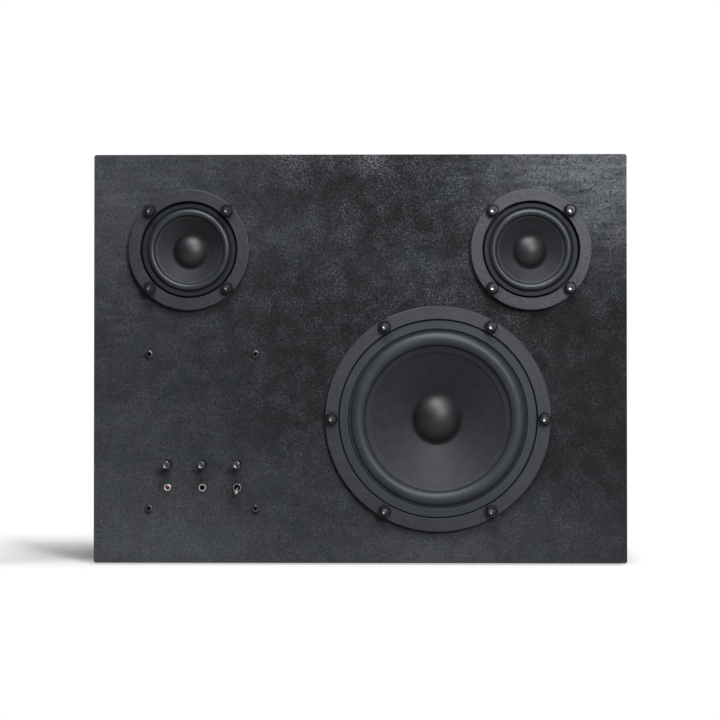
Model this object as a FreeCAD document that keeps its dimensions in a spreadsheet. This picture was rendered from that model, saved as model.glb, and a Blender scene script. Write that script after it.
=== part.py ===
import FreeCAD, Part
import math
import os
from collections import namedtuple
from types import SimpleNamespace

import Sketcher
from FreeCAD import Placement, Rotation, Vector

# Powered speaker: a steel box with a woofer, two small drivers and an amplifier module.
# Millimetres. The object stands on z = 0, x runs to the right and y to the rear.
# Most pieces are drawn in a turned frame: x to the right, y up and z out of the front panel.

os.makedirs("parts", exist_ok=True)
doc = FreeCAD.newDocument("powered_speaker")
sheet = doc.addObject("Spreadsheet::Sheet", "Sizes")


class Length:
    """A length together with the spreadsheet expression that gives it."""

    def __init__(self, value, text):
        self.value = value
        self.text = text

    def __add__(self, other):
        other = as_length(other)
        return Length(self.value + other.value, f"({self.text} + {other.text})")

    def __sub__(self, other):
        other = as_length(other)
        return Length(self.value - other.value, f"({self.text} - {other.text})")

    def __rsub__(self, other):
        return as_length(other) - self

    def __mul__(self, other):
        other = as_length(other)
        return Length(self.value * other.value, f"({self.text} * {other.text})")

    def __truediv__(self, other):
        other = as_length(other)
        return Length(self.value / other.value, f"({self.text} / {other.text})")

    def __neg__(self):
        return Length(-self.value, f"(-1 * {self.text})")

    __radd__ = __add__
    __rmul__ = __mul__


def as_length(number):
    if isinstance(number, Length):
        return number
    return Length(float(number), f"({float(number):.9f})")


def root(square):
    return Length(math.sqrt(square.value), f"sqrt({square.text})")


named_sizes = {}


def enter(name, value, content):
    row = len(named_sizes) + 1
    sheet.set(f"A{row}", name)
    sheet.set(f"B{row}", content)
    sheet.setAlias(f"B{row}", name)
    named_sizes[name] = Length(value, f"Sizes.{name}")
    return named_sizes[name]


def size(name, value):
    """One driving dimension: a named cell of the spreadsheet."""
    return enter(name, float(value), str(value))


def derived(name, length):
    """A named cell that follows from the cells above it."""
    return enter(name, length.value, "=" + length.text.replace("Sizes.", ""))


def family(prefix):
    """All sizes whose names begin alike, under the rest of their names."""
    start = prefix + "_"
    names = [name for name in named_sizes if name.startswith(start)]
    return SimpleNamespace(**{name[len(start):]: named_sizes[name] for name in names})


# Cabinet sizes
cabinet_width = size("cabinet_width", 390)
cabinet_depth = size("cabinet_depth", 190)
cabinet_wall = size("cabinet_wall", 3)
cabinet_corner_radius = size("cabinet_corner_radius", 1.8)
cabinet_lip_width = size("cabinet_lip_width", 14)
cabinet_rear_inset = size("cabinet_rear_inset", 4)
cabinet_seal_thick = size("cabinet_seal_thick", 2)
cabinet_panel_play = size("cabinet_panel_play", 0.5)
foot_height = size("foot_height", 1.5)
foot_diameter = size("foot_diameter", 18)
foot_inset = size("foot_inset", 25)
rear_screw_side_spacing = size("rear_screw_side_spacing", 90)

# Screw sizes: metric four with a socket head, and the rear ones with a low head
screw_diameter = size("screw_diameter", 4)
screw_head_diameter = size("screw_head_diameter", 7)
screw_head_height = size("screw_head_height", 4)
screw_low_head_diameter = size("screw_low_head_diameter", 7.6)
screw_low_head_height = size("screw_low_head_height", 2.2)
screw_socket_width = size("screw_socket_width", 3)
screw_socket_depth = size("screw_socket_depth", 2)
screw_low_socket_depth = size("screw_low_socket_depth", 1)
screw_hole_play = size("screw_hole_play", 0.25)
screw_thread_play = size("screw_thread_play", 0.05)
screw_end_reach = size("screw_end_reach", 1)

# Woofer sizes, radii from the trim ring inward and depths from the ring face backward
woofer_x = size("woofer_x", 57)
woofer_ring_inner = size("woofer_ring_inner", 145.2)
woofer_ring_width = size("woofer_ring_width", 9.9)
woofer_ring_thick = size("woofer_ring_thick", 4)
woofer_ring_edge = size("woofer_ring_edge", 0.8)
woofer_gasket_thick = size("woofer_gasket_thick", 1.5)
woofer_rim_gap = size("woofer_rim_gap", 0.6)
woofer_rim_width = size("woofer_rim_width", 6.5)
woofer_rim_setback = size("woofer_rim_setback", 1.5)
woofer_ledge_depth = size("woofer_ledge_depth", 1.5)
woofer_ledge_width = size("woofer_ledge_width", 3.4)
woofer_flange_width = size("woofer_flange_width", 9.5)
woofer_flange_thick = size("woofer_flange_thick", 4)
woofer_lip_gap = size("woofer_lip_gap", 6.4)
woofer_surround_play = size("woofer_surround_play", 0.2)
woofer_surround_edge = size("woofer_surround_edge", 1.5)
woofer_surround_thick = size("woofer_surround_thick", 0.8)
woofer_roll_width = size("woofer_roll_width", 11.5)
woofer_roll_height = size("woofer_roll_height", 4.5)
woofer_inner_drop = size("woofer_inner_drop", 3)
woofer_bond_gap = size("woofer_bond_gap", 0.2)
woofer_glue_width = size("woofer_glue_width", 3.3)
woofer_cone_depth = size("woofer_cone_depth", 18)
woofer_cone_thick = size("woofer_cone_thick", 0.8)
woofer_neck_depth = size("woofer_neck_depth", 2)
woofer_cap_radius = size("woofer_cap_radius", 18)
woofer_cap_height = size("woofer_cap_height", 8)
woofer_cap_lip = size("woofer_cap_lip", 1.4)
woofer_cap_thick = size("woofer_cap_thick", 0.6)
woofer_coil_radius = size("woofer_coil_radius", 16)
woofer_former_thick = size("woofer_former_thick", 0.4)
woofer_winding_thick = size("woofer_winding_thick", 0.6)
woofer_winding_height = size("woofer_winding_height", 12)
woofer_air_gap = size("woofer_air_gap", 0.4)
woofer_spider_drop = size("woofer_spider_drop", 8)
woofer_spider_seat = size("woofer_spider_seat", 5)
woofer_spider_collar = size("woofer_spider_collar", 3)
woofer_spider_wave = size("woofer_spider_wave", 1.4)
woofer_spider_thick = size("woofer_spider_thick", 0.6)
woofer_spider_room = size("woofer_spider_room", 13)
woofer_bowl_taper = size("woofer_bowl_taper", 18.4)
woofer_bowl_wall = size("woofer_bowl_wall", 2.5)
woofer_base_thick = size("woofer_base_thick", 3)
woofer_plate_diameter = size("woofer_plate_diameter", 80)
woofer_plate_thick = size("woofer_plate_thick", 6)
woofer_magnet_diameter = size("woofer_magnet_diameter", 90)
woofer_magnet_hole = size("woofer_magnet_hole", 44)
woofer_magnet_thick = size("woofer_magnet_thick", 17)
woofer_yoke_thick = size("woofer_yoke_thick", 6)
woofer_vent_diameter = size("woofer_vent_diameter", 10)
woofer_screw_count = 6
woofer_first_screw = 0
woofer_window_count = 6
woofer_window_half_angle = 20

# Small driver sizes, shared by the left and the right driver
small_ring_inner = size("small_ring_inner", 70.8)
small_ring_width = size("small_ring_width", 8.95)
small_ring_thick = size("small_ring_thick", 5)
small_ring_edge = size("small_ring_edge", 0.8)
small_gasket_thick = size("small_gasket_thick", 1.5)
small_rim_gap = size("small_rim_gap", 1.2)
small_rim_width = size("small_rim_width", 3.4)
small_rim_setback = size("small_rim_setback", 2.5)
small_ledge_depth = size("small_ledge_depth", 1.2)
small_ledge_width = size("small_ledge_width", 2)
small_flange_width = size("small_flange_width", 8.6)
small_flange_thick = size("small_flange_thick", 3)
small_lip_gap = size("small_lip_gap", 9)
small_surround_play = size("small_surround_play", 0.2)
small_surround_edge = size("small_surround_edge", 0.6)
small_surround_thick = size("small_surround_thick", 0.5)
small_roll_width = size("small_roll_width", 5.4)
small_roll_height = size("small_roll_height", 2.3)
small_inner_drop = size("small_inner_drop", 1.6)
small_bond_gap = size("small_bond_gap", 0.2)
small_glue_width = size("small_glue_width", 1.4)
small_cone_depth = size("small_cone_depth", 8)
small_cone_thick = size("small_cone_thick", 0.6)
small_neck_depth = size("small_neck_depth", 1.5)
small_cap_radius = size("small_cap_radius", 12.4)
small_cap_height = size("small_cap_height", 5.5)
small_cap_lip = size("small_cap_lip", 0.9)
small_cap_thick = size("small_cap_thick", 0.5)
small_coil_radius = size("small_coil_radius", 10)
small_former_thick = size("small_former_thick", 0.3)
small_winding_thick = size("small_winding_thick", 0.4)
small_winding_height = size("small_winding_height", 7)
small_air_gap = size("small_air_gap", 0.35)
small_spider_drop = size("small_spider_drop", 3.5)
small_spider_seat = size("small_spider_seat", 2.6)
small_spider_collar = size("small_spider_collar", 1.6)
small_spider_wave = size("small_spider_wave", 0.8)
small_spider_thick = size("small_spider_thick", 0.5)
small_spider_room = size("small_spider_room", 7)
small_bowl_taper = size("small_bowl_taper", 7.8)
small_bowl_wall = size("small_bowl_wall", 2)
small_base_thick = size("small_base_thick", 2)
small_plate_diameter = size("small_plate_diameter", 46)
small_plate_thick = size("small_plate_thick", 4)
small_magnet_diameter = size("small_magnet_diameter", 56)
small_magnet_hole = size("small_magnet_hole", 28)
small_magnet_thick = size("small_magnet_thick", 10)
small_yoke_thick = size("small_yoke_thick", 4)
small_vent_diameter = size("small_vent_diameter", 5)
small_screw_count = 4
small_first_screw = 45
small_window_count = 4
small_window_half_angle = 28
driver_ring_gap = size("driver_ring_gap", 14.13)
spider_folds = 9

# Amplifier module sizes
amp_side_gap = size("amp_side_gap", 33.7)
amp_floor_gap = size("amp_floor_gap", 32.7)
amp_screw_spacing_x = size("amp_screw_spacing_x", 78)
amp_screw_spacing_up = size("amp_screw_spacing_up", 113)
amp_screw_diameter = size("amp_screw_diameter", 3)
amp_screw_head_diameter = size("amp_screw_head_diameter", 5.8)
amp_screw_head_height = size("amp_screw_head_height", 2)
amp_screw_socket_width = size("amp_screw_socket_width", 2.2)
amp_screw_socket_depth = size("amp_screw_socket_depth", 1)
amp_plate_margin = size("amp_plate_margin", 7)
amp_plate_thick = size("amp_plate_thick", 2)
amp_standoff_length = size("amp_standoff_length", 6)
amp_standoff_diameter = size("amp_standoff_diameter", 9)
amp_knob_drop = size("amp_knob_drop", 24.2)
amp_part_depth = size("amp_part_depth", 8)
amp_board_thick = size("amp_board_thick", 1.6)
amp_board_margin = size("amp_board_margin", 2)
control_pitch = size("control_pitch", 25.6)
control_row_pitch = size("control_row_pitch", 17)
control_hole_play = size("control_hole_play", 0.5)
knob_diameter = size("knob_diameter", 6)
knob_reach = size("knob_reach", 12)
knob_edge = size("knob_edge", 0.8)
knob_dish_width = size("knob_dish_width", 3.6)
knob_dish_depth = size("knob_dish_depth", 0.5)
knob_bearing_play = size("knob_bearing_play", 0.05)
knob_end_play = size("knob_end_play", 0.3)
knob_line_width = size("knob_line_width", 0.8)
knob_line_depth = size("knob_line_depth", 0.6)
pot_diameter = size("pot_diameter", 16)
pot_bushing_wall = size("pot_bushing_wall", 0.45)
pot_bushing_gap = size("pot_bushing_gap", 1)
pot_end_wall = size("pot_end_wall", 2)
jack_bore = size("jack_bore", 3.6)
jack_bushing_wall = size("jack_bushing_wall", 0.9)
jack_proud = size("jack_proud", 1)
jack_bore_depth = size("jack_bore_depth", 15)
jack_body_width = size("jack_body_width", 11)
led_bezel_diameter = size("led_bezel_diameter", 5.2)
led_proud = size("led_proud", 1)
led_bezel_wall = size("led_bezel_wall", 1)
led_lens_play = size("led_lens_play", 0.15)
led_dome = size("led_dome", 0.8)
switch_ball_diameter = size("switch_ball_diameter", 4.4)
switch_ball_play = size("switch_ball_play", 0.25)
switch_bushing_wall = size("switch_bushing_wall", 0.35)
switch_proud = size("switch_proud", 2)
switch_body_width = size("switch_body_width", 8)
switch_body_height = size("switch_body_height", 13)
switch_pivot_depth = size("switch_pivot_depth", 2)
switch_lever_reach = size("switch_lever_reach", 12)
switch_lever_root = size("switch_lever_root", 2)
switch_lever_tip = size("switch_lever_tip", 3)
switch_throw = size("switch_throw", 13)
switch_cavity_depth = size("switch_cavity_depth", 8)
heat_sink_width = size("heat_sink_width", 60)
heat_sink_height = size("heat_sink_height", 46)
heat_sink_base = size("heat_sink_base", 4)
heat_sink_fin_length = size("heat_sink_fin_length", 16)
heat_sink_fin_thick = size("heat_sink_fin_thick", 2)
heat_sink_rise = size("heat_sink_rise", 24.3)
heat_sink_fin_count = 7
capacitor_diameter = size("capacitor_diameter", 12.5)
capacitor_length = size("capacitor_length", 20)
capacitor_pitch = size("capacitor_pitch", 15)
capacitor_drop = size("capacitor_drop", 35.7)

# Power supply, inlet, felt and wiring sizes
supply_side_gap = size("supply_side_gap", 25)
supply_rear_gap = size("supply_rear_gap", 15)
supply_length = size("supply_length", 104)
supply_width = size("supply_width", 66)
supply_standoff = size("supply_standoff", 6)
supply_board_thick = size("supply_board_thick", 1.6)
supply_core_width = size("supply_core_width", 34)
supply_core_length = size("supply_core_length", 30)
supply_core_height = size("supply_core_height", 28)
supply_can_diameter = size("supply_can_diameter", 18)
supply_can_height = size("supply_can_height", 26)
supply_can_gap = size("supply_can_gap", 7.2)
supply_can_inset = size("supply_can_inset", 26)
inlet_x = size("inlet_x", 110)
inlet_up = size("inlet_up", 62)
inlet_recess_width = size("inlet_recess_width", 24)
inlet_recess_height = size("inlet_recess_height", 16.3)
inlet_recess_depth = size("inlet_recess_depth", 16.5)
inlet_corner = size("inlet_corner", 4.5)
inlet_side_wall = size("inlet_side_wall", 1.5)
inlet_top_wall = size("inlet_top_wall", 1.85)
inlet_body_depth = size("inlet_body_depth", 22)
inlet_flange_side = size("inlet_flange_side", 2)
inlet_flange_top = size("inlet_flange_top", 2.5)
inlet_flange_thick = size("inlet_flange_thick", 2.4)
inlet_cutout_play = size("inlet_cutout_play", 0.25)
inlet_pin_width = size("inlet_pin_width", 2)
inlet_pin_height = size("inlet_pin_height", 4)
inlet_pin_pitch = size("inlet_pin_pitch", 14)
inlet_pin_offset = size("inlet_pin_offset", 4)
inlet_pin_setback = size("inlet_pin_setback", 1.5)
felt_edge_gap = size("felt_edge_gap", 13)
felt_thick = size("felt_thick", 10)
felt_inlet_room = size("felt_inlet_room", 8)
wire_radius = size("wire_radius", 1.8)
wire_bend = size("wire_bend", 6)
wire_row_inset = size("wire_row_inset", 7.2)
wire_drop = size("wire_drop", 19.3)
wire_riser_drop = size("wire_riser_drop", 12.7)
wire_back_run = size("wire_back_run", 16)
wire_side_gap = size("wire_side_gap", 7)

# Planes shared by several pieces
y_front = derived("y_front", (knob_reach - cabinet_depth) / 2)
half_width = derived("half_width", cabinet_width / 2)
floor_edge = foot_height
panel_back = -cabinet_wall
lip_reach = derived("lip_reach", cabinet_wall + cabinet_lip_width)
rear_face = derived("rear_face", cabinet_rear_inset - cabinet_depth)
rear_inside = derived("rear_inside", rear_face + cabinet_wall)
lip_rear = derived("lip_rear", rear_inside + cabinet_seal_thick)
screw_radius = derived("screw_radius", screw_diameter / 2)
amp_screw_radius = derived("amp_screw_radius", amp_screw_diameter / 2)
clear_radius = derived("clear_radius", screw_radius + screw_hole_play)
thread_radius = derived("thread_radius", screw_radius + screw_thread_play)

# Driver places: every flange clears the lip of the cabinet, and the rings stay apart.
# The height of the cabinet follows from the drivers that stand in it.
woofer_hole_radius = derived("woofer_hole_radius", woofer_ring_inner / 2)
woofer_ring_radius = derived("woofer_ring_radius", woofer_hole_radius + woofer_ring_width)
woofer_flange_radius = derived("woofer_flange_radius", woofer_hole_radius + woofer_flange_width)
woofer_pitch_radius = derived("woofer_pitch_radius", woofer_hole_radius + woofer_ring_width / 2)
small_hole_radius = derived("small_hole_radius", small_ring_inner / 2)
small_ring_radius = derived("small_ring_radius", small_hole_radius + small_ring_width)
small_flange_radius = derived("small_flange_radius", small_hole_radius + small_flange_width)
small_pitch_radius = derived("small_pitch_radius", small_hole_radius + small_ring_width / 2)
woofer_up = derived("woofer_up", floor_edge + lip_reach + woofer_lip_gap + woofer_flange_radius)
small_x = derived("small_x", half_width - lip_reach - small_lip_gap - small_flange_radius)
ring_reach = woofer_ring_radius + small_ring_radius + driver_ring_gap
side_step = small_x - woofer_x
small_up = derived("small_up", woofer_up + root(ring_reach * ring_reach - side_step * side_step))
top_edge = derived("top_edge", small_up + small_flange_radius + small_lip_gap + lip_reach)
cabinet_height = derived("cabinet_height", top_edge - floor_edge)
cabinet_middle = derived("cabinet_middle", (floor_edge + top_edge) / 2)

# Amplifier places: the module keeps its distance from the left wall and the floor
plate_width = derived("plate_width", amp_screw_spacing_x + amp_plate_margin * 2)
plate_height = derived("plate_height", amp_screw_spacing_up + amp_plate_margin * 2)
amp_x = derived("amp_x", amp_side_gap + plate_width / 2 - half_width)
amp_up = derived("amp_up", floor_edge + amp_floor_gap + plate_height / 2)
knob_up = derived("knob_up", amp_up - amp_knob_drop)
lower_up = derived("lower_up", knob_up - control_row_pitch)
pot_bore = derived("pot_bore", knob_diameter + knob_bearing_play * 2)
pot_bushing_diameter = derived("pot_bushing_diameter", pot_bore + pot_bushing_wall * 2)
jack_bushing_diameter = derived("jack_bushing_diameter", jack_bore + jack_bushing_wall * 2)
switch_bore = derived("switch_bore", switch_ball_diameter + switch_ball_play * 2)
switch_bushing_diameter = derived("switch_bushing_diameter", switch_bore + switch_bushing_wall * 2)

doc.recompute()

Circle = namedtuple("Circle", "x y radius")

nodes = []


def origin(body, role):
    return next(feature for feature in body.Origin.OriginFeatures if feature.Role == role)


def bind(thing, path, length):
    thing.setExpression(path, as_length(length).text)


def start_body(label, x=0, y=None, up=0, turned=True):
    """An empty named body. A turned one is drawn with z pointing out of the front panel."""
    body = doc.addObject("PartDesign::Body", label)
    body.Label = label
    spot = (as_length(x), as_length(y_front if y is None else y), as_length(up))
    turn = Rotation(Vector(1, 0, 0), 90 if turned else 0)
    body.Placement = Placement(Vector(*[length.value for length in spot]), turn)
    for axis, length in zip("xyz", spot):
        bind(body, f"Placement.Base.{axis}", length)
    nodes.append(body)
    return body


def hold(sketch, kind, edge, point, length):
    """Keep one coordinate of a sketch point at its length from the sketch origin."""
    if not isinstance(length, Length) and length == 0:
        axis = -2 if kind == "DistanceX" else -1
        sketch.addConstraint(Sketcher.Constraint("PointOnObject", edge, point, axis))
        return
    length = as_length(length)
    index = sketch.addConstraint(Sketcher.Constraint(kind, -1, 1, edge, point, length.value))
    sketch.setExpression(f"Constraints[{index}]", length.text)


def flat(x, y):
    return Vector(as_length(x).value, as_length(y).value, 0)


def draw_circle(sketch, circle):
    centre = flat(circle.x, circle.y)
    edge = sketch.addGeometry(Part.Circle(centre, Vector(0, 0, 1), circle.radius.value))
    hold(sketch, "DistanceX", edge, 3, circle.x)
    hold(sketch, "DistanceY", edge, 3, circle.y)
    index = sketch.addConstraint(Sketcher.Constraint("Radius", edge, circle.radius.value))
    sketch.setExpression(f"Constraints[{index}]", circle.radius.text)


def draw_outline(sketch, corners):
    """A closed outline. A corner is (x, y), or (x, y, centre, turn) where an arc leaves it."""
    edges = []
    for corner, following in zip(corners, corners[1:] + corners[:1]):
        start = flat(*corner[:2])
        end = flat(*following[:2])
        if len(corner) == 2:
            edges.append((sketch.addGeometry(Part.LineSegment(start, end)), 1, 2))
            continue
        centre = flat(*corner[2])
        angles = [math.atan2(spot.y - centre.y, spot.x - centre.x) for spot in (start, end)]
        if corner[3] == "right":
            angles.reverse()
        if angles[1] <= angles[0]:
            angles[1] += 2 * math.pi
        circle = Part.Circle(centre, Vector(0, 0, 1), (start - centre).Length)
        edge = sketch.addGeometry(Part.ArcOfCircle(circle, *angles))
        edges.append((edge, 2, 1) if corner[3] == "right" else (edge, 1, 2))
        if abs(end.x - start.x) >= abs(end.y - start.y):
            hold(sketch, "DistanceY", edge, 3, corner[2][1])
        else:
            hold(sketch, "DistanceX", edge, 3, corner[2][0])
    for (edge, _, end), (following, begin, _) in zip(edges, edges[1:] + edges[:1]):
        sketch.addConstraint(Sketcher.Constraint("Coincident", edge, end, following, begin))
    for (edge, begin, _), corner in zip(edges, corners):
        hold(sketch, "DistanceX", edge, begin, corner[0])
        hold(sketch, "DistanceY", edge, begin, corner[1])


def sketch_on(body, plane, offset, shapes):
    sketch = body.newObject("Sketcher::SketchObject", "outline")
    sketch.AttachmentSupport = [(origin(body, plane), "")]
    sketch.MapMode = "FlatFace"
    if isinstance(offset, Length):
        bind(sketch, "AttachmentOffset.Base.z", offset)
    for shape in shapes:
        if isinstance(shape, Circle):
            draw_circle(sketch, shape)
        else:
            draw_outline(sketch, shape)
    return sketch


def extrude(body, shapes, low, high):
    """Material between two heights above the body's own xy plane."""
    pad = body.newObject("PartDesign::Pad", "pad")
    pad.Profile = sketch_on(body, "XY_Plane", low, shapes)
    bind(pad, "Length", as_length(high) - as_length(low))
    return pad


def cut(body, shapes, high, low):
    """A hole or recess that starts at the higher plane and ends at the lower one."""
    pocket = body.newObject("PartDesign::Pocket", "pocket")
    pocket.Profile = sketch_on(body, "XY_Plane", high, shapes)
    bind(pocket, "Length", as_length(high) - as_length(low))
    return pocket


def revolve(body, corners):
    """Material swept round the body's z axis; corners are (radius, height)."""
    turned = body.newObject("PartDesign::Revolution", "turned")
    turned.Profile = sketch_on(body, "XZ_Plane", 0, [corners])
    turned.ReferenceAxis = (origin(body, "Z_Axis"), [""])
    turned.Angle = 360
    return turned


def repeat_round(body, feature, count):
    pattern = body.newObject("PartDesign::PolarPattern", "round")
    pattern.Originals = [feature]
    pattern.Axis = (origin(body, "Z_Axis"), [""])
    pattern.Angle = 360
    pattern.Occurrences = count
    body.Tip = pattern


def rectangle(x, y, width, height):
    left, right = x - width / 2, x + width / 2
    low, high = y - height / 2, y + height / 2
    return [(left, low), (right, low), (right, high), (left, high)]


def rounded(x, y, width, height, radius):
    left, right = x - width / 2, x + width / 2
    low, high = y - height / 2, y + height / 2
    return [
        (left + radius, low),
        (right - radius, low, (right - radius, low + radius), "left"),
        (right, low + radius),
        (right, high - radius, (right - radius, high - radius), "left"),
        (right - radius, high),
        (left + radius, high, (left + radius, high - radius), "left"),
        (left, high - radius),
        (left, low + radius, (left + radius, low + radius), "left"),
    ]


def hexagon(x, y, across_flats):
    reach = across_flats / math.sqrt(3)
    angles = [math.radians(60 * step) for step in range(6)]
    return [(x + reach * math.cos(angle), y + reach * math.sin(angle)) for angle in angles]


def polar_places(radius, count, first_degrees):
    angles = [math.radians(first_degrees + 360 / count * step) for step in range(count)]
    return [(radius * math.cos(angle), radius * math.sin(angle)) for angle in angles]


def circles(places, radius):
    return [Circle(x, y, radius) for x, y in places]


def washer(outer, inner):
    return [Circle(0, 0, outer), Circle(0, 0, inner)]


# Kinds of screw: tall heads on the rings, low ones on the back, small ones on the amplifier
ring_screw = SimpleNamespace(
    shank=screw_radius,
    head=screw_head_diameter / 2,
    height=screw_head_height,
    socket=screw_socket_width,
    socket_depth=screw_socket_depth,
)
back_screw = SimpleNamespace(
    shank=screw_radius,
    head=screw_low_head_diameter / 2,
    height=screw_low_head_height,
    socket=screw_socket_width,
    socket_depth=screw_low_socket_depth,
)
amp_screw = SimpleNamespace(
    shank=amp_screw_radius,
    head=amp_screw_head_diameter / 2,
    height=amp_screw_head_height,
    socket=amp_screw_socket_width,
    socket_depth=amp_screw_socket_depth,
)


def screw_group(label, places, seat, end, kind, x=0, up=0, toward_front=True):
    """Identical screws under one name; the heads rest on the seat plane."""
    body = start_body(label, x=x, up=up)
    sockets = [hexagon(*place, kind.socket) for place in places]
    if toward_front:
        head_high = seat + kind.height
        extrude(body, circles(places, kind.shank), end, seat)
        extrude(body, circles(places, kind.head), seat, head_high)
        cut(body, sockets, head_high, head_high - kind.socket_depth)
    else:
        head_low = seat - kind.height
        extrude(body, circles(places, kind.shank), seat, end)
        extrude(body, circles(places, kind.head), head_low, seat)
        cut(body, sockets, head_low + kind.socket_depth, head_low)
    return body


# Places of the screws and controls, seen from the front
woofer_screw_places = polar_places(woofer_pitch_radius, woofer_screw_count, woofer_first_screw)
small_screw_places = polar_places(small_pitch_radius, small_screw_count, small_first_screw)
amp_screw_places = [
    (amp_x + amp_screw_spacing_x / 2 * side, amp_up + amp_screw_spacing_up / 2 * level)
    for side in (-1, 1)
    for level in (-1, 1)
]
left_column = amp_x - control_pitch
right_column = amp_x + control_pitch
knob_columns = {"volume_knob": left_column, "bass_knob": amp_x, "treble_knob": right_column}
rear_screw_x = half_width - cabinet_wall - cabinet_lip_width / 2
rear_screw_low = floor_edge + cabinet_wall + cabinet_lip_width / 2
rear_screw_high = top_edge - cabinet_wall - cabinet_lip_width / 2
side_low = cabinet_middle - rear_screw_side_spacing / 2
side_high = cabinet_middle + rear_screw_side_spacing / 2
rear_screw_places = [(0, rear_screw_low), (0, rear_screw_high)]
rear_screw_levels = (rear_screw_low, side_low, side_high, rear_screw_high)
for column in (-rear_screw_x, rear_screw_x):
    rear_screw_places += [(column, level) for level in rear_screw_levels]


def moved(places, x, up):
    return [(x + place_x, up + place_up) for place_x, place_up in places]


# Front panel: one flat steel plate that carries the drivers and the amplifier module
cabinet_outline = rounded(0, cabinet_middle, cabinet_width, cabinet_height, cabinet_corner_radius)
front_panel = start_body("front_panel")
extrude(front_panel, [cabinet_outline], panel_back, 0)
panel_holes = [Circle(woofer_x, woofer_up, woofer_hole_radius)]
panel_holes += circles(moved(woofer_screw_places, woofer_x, woofer_up), clear_radius)
for side in (-1, 1):
    panel_holes.append(Circle(small_x * side, small_up, small_hole_radius))
    panel_holes += circles(moved(small_screw_places, small_x * side, small_up), clear_radius)
panel_holes += circles(amp_screw_places, amp_screw_radius + screw_hole_play)
for column in knob_columns.values():
    panel_holes.append(Circle(column, knob_up, knob_diameter / 2 + control_hole_play))
for column, diameter in (
    (left_column, led_bezel_diameter),
    (amp_x, jack_bushing_diameter),
    (right_column, switch_bushing_diameter),
):
    panel_holes.append(Circle(column, lower_up, (diameter + control_hole_play) / 2))
cut(front_panel, panel_holes, 0, panel_back)

# Cabinet wrap: four side walls with a front lip behind the panel and a rear lip for the back plate
inner_width = cabinet_width - cabinet_wall * 2
inner_height = cabinet_height - cabinet_wall * 2
inner_outline = rectangle(0, cabinet_middle, inner_width, inner_height)
opening_width = inner_width - cabinet_lip_width * 2
opening_height = inner_height - cabinet_lip_width * 2
lip_opening = rectangle(0, cabinet_middle, opening_width, opening_height)
cabinet_wrap = start_body("cabinet_wrap")
extrude(cabinet_wrap, [cabinet_outline, inner_outline], -cabinet_depth, panel_back)
extrude(cabinet_wrap, [inner_outline, lip_opening], panel_back - cabinet_wall, panel_back)
extrude(cabinet_wrap, [inner_outline, lip_opening], lip_rear, lip_rear + cabinet_wall)
cut(cabinet_wrap, circles(rear_screw_places, thread_radius), lip_rear + cabinet_wall, lip_rear)

# Rear seal: foam strip as wide as the rear lip
rear_seal = start_body("rear_seal")
plate_play = cabinet_panel_play * 2
seal_outline = rectangle(0, cabinet_middle, inner_width - plate_play, inner_height - plate_play)
extrude(rear_seal, [seal_outline, lip_opening], rear_inside, lip_rear)
cut(rear_seal, circles(rear_screw_places, clear_radius), lip_rear, rear_inside)

# Rear panel: back plate let into the walls, with the inlet opening
rear_panel = start_body("rear_panel")
extrude(rear_panel, [seal_outline], rear_face, rear_inside)
inlet_width = inlet_recess_width + inlet_side_wall * 2
inlet_height = inlet_recess_height + inlet_top_wall * 2
cutout_play = inlet_cutout_play * 2
inlet_opening = rectangle(inlet_x, inlet_up, inlet_width + cutout_play, inlet_height + cutout_play)
cut(rear_panel, circles(rear_screw_places, clear_radius) + [inlet_opening], rear_inside, rear_face)
screw_group(
    "rear_panel_screws",
    rear_screw_places,
    rear_face,
    lip_rear + cabinet_wall + screw_end_reach,
    back_screw,
    toward_front=False,
)

# Feet: four round rubber pads under the floor of the cabinet
feet = start_body("feet", y=0, turned=False)
foot_x = half_width - foot_inset
foot_front = y_front + foot_inset
foot_rear = y_front + cabinet_depth - foot_inset
foot_places = [(foot_x * side, depth) for side in (-1, 1) for depth in (foot_front, foot_rear)]
extrude(feet, circles(foot_places, foot_diameter / 2), 0, foot_height)

# Mains inlet: moulded appliance inlet pushed in from the rear, with a recess round three pins
mains_inlet = start_body("mains_inlet")
inlet_back = rear_face + inlet_body_depth
inlet_mouth = rear_face - inlet_flange_thick
flange_width = inlet_width + inlet_flange_side * 2
flange_height = inlet_height + inlet_flange_top * 2
inlet_flange = rectangle(inlet_x, inlet_up, flange_width, flange_height)
inlet_body = rectangle(inlet_x, inlet_up, inlet_width, inlet_height)
extrude(mains_inlet, [inlet_flange], inlet_mouth, rear_face)
extrude(mains_inlet, [inlet_body], rear_face, inlet_back)
recess_left = inlet_x - inlet_recess_width / 2
recess_right = inlet_x + inlet_recess_width / 2
recess_low = inlet_up - inlet_recess_height / 2
recess_high = inlet_up + inlet_recess_height / 2
recess_outline = [
    (recess_left, recess_low),
    (recess_right, recess_low),
    (recess_right, recess_high - inlet_corner),
    (recess_right - inlet_corner, recess_high),
    (recess_left + inlet_corner, recess_high),
    (recess_left, recess_high - inlet_corner),
]
cut(mains_inlet, [recess_outline], inlet_mouth + inlet_recess_depth, inlet_mouth)
inlet_pins = start_body("inlet_pins")
pin_places = [
    (inlet_x - inlet_pin_pitch / 2, inlet_up - inlet_pin_offset / 2),
    (inlet_x, inlet_up + inlet_pin_offset / 2),
    (inlet_x + inlet_pin_pitch / 2, inlet_up - inlet_pin_offset / 2),
]
pins = [rectangle(x, up, inlet_pin_width, inlet_pin_height) for x, up in pin_places]
extrude(inlet_pins, pins, inlet_mouth + inlet_pin_setback, inlet_mouth + inlet_recess_depth)

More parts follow.
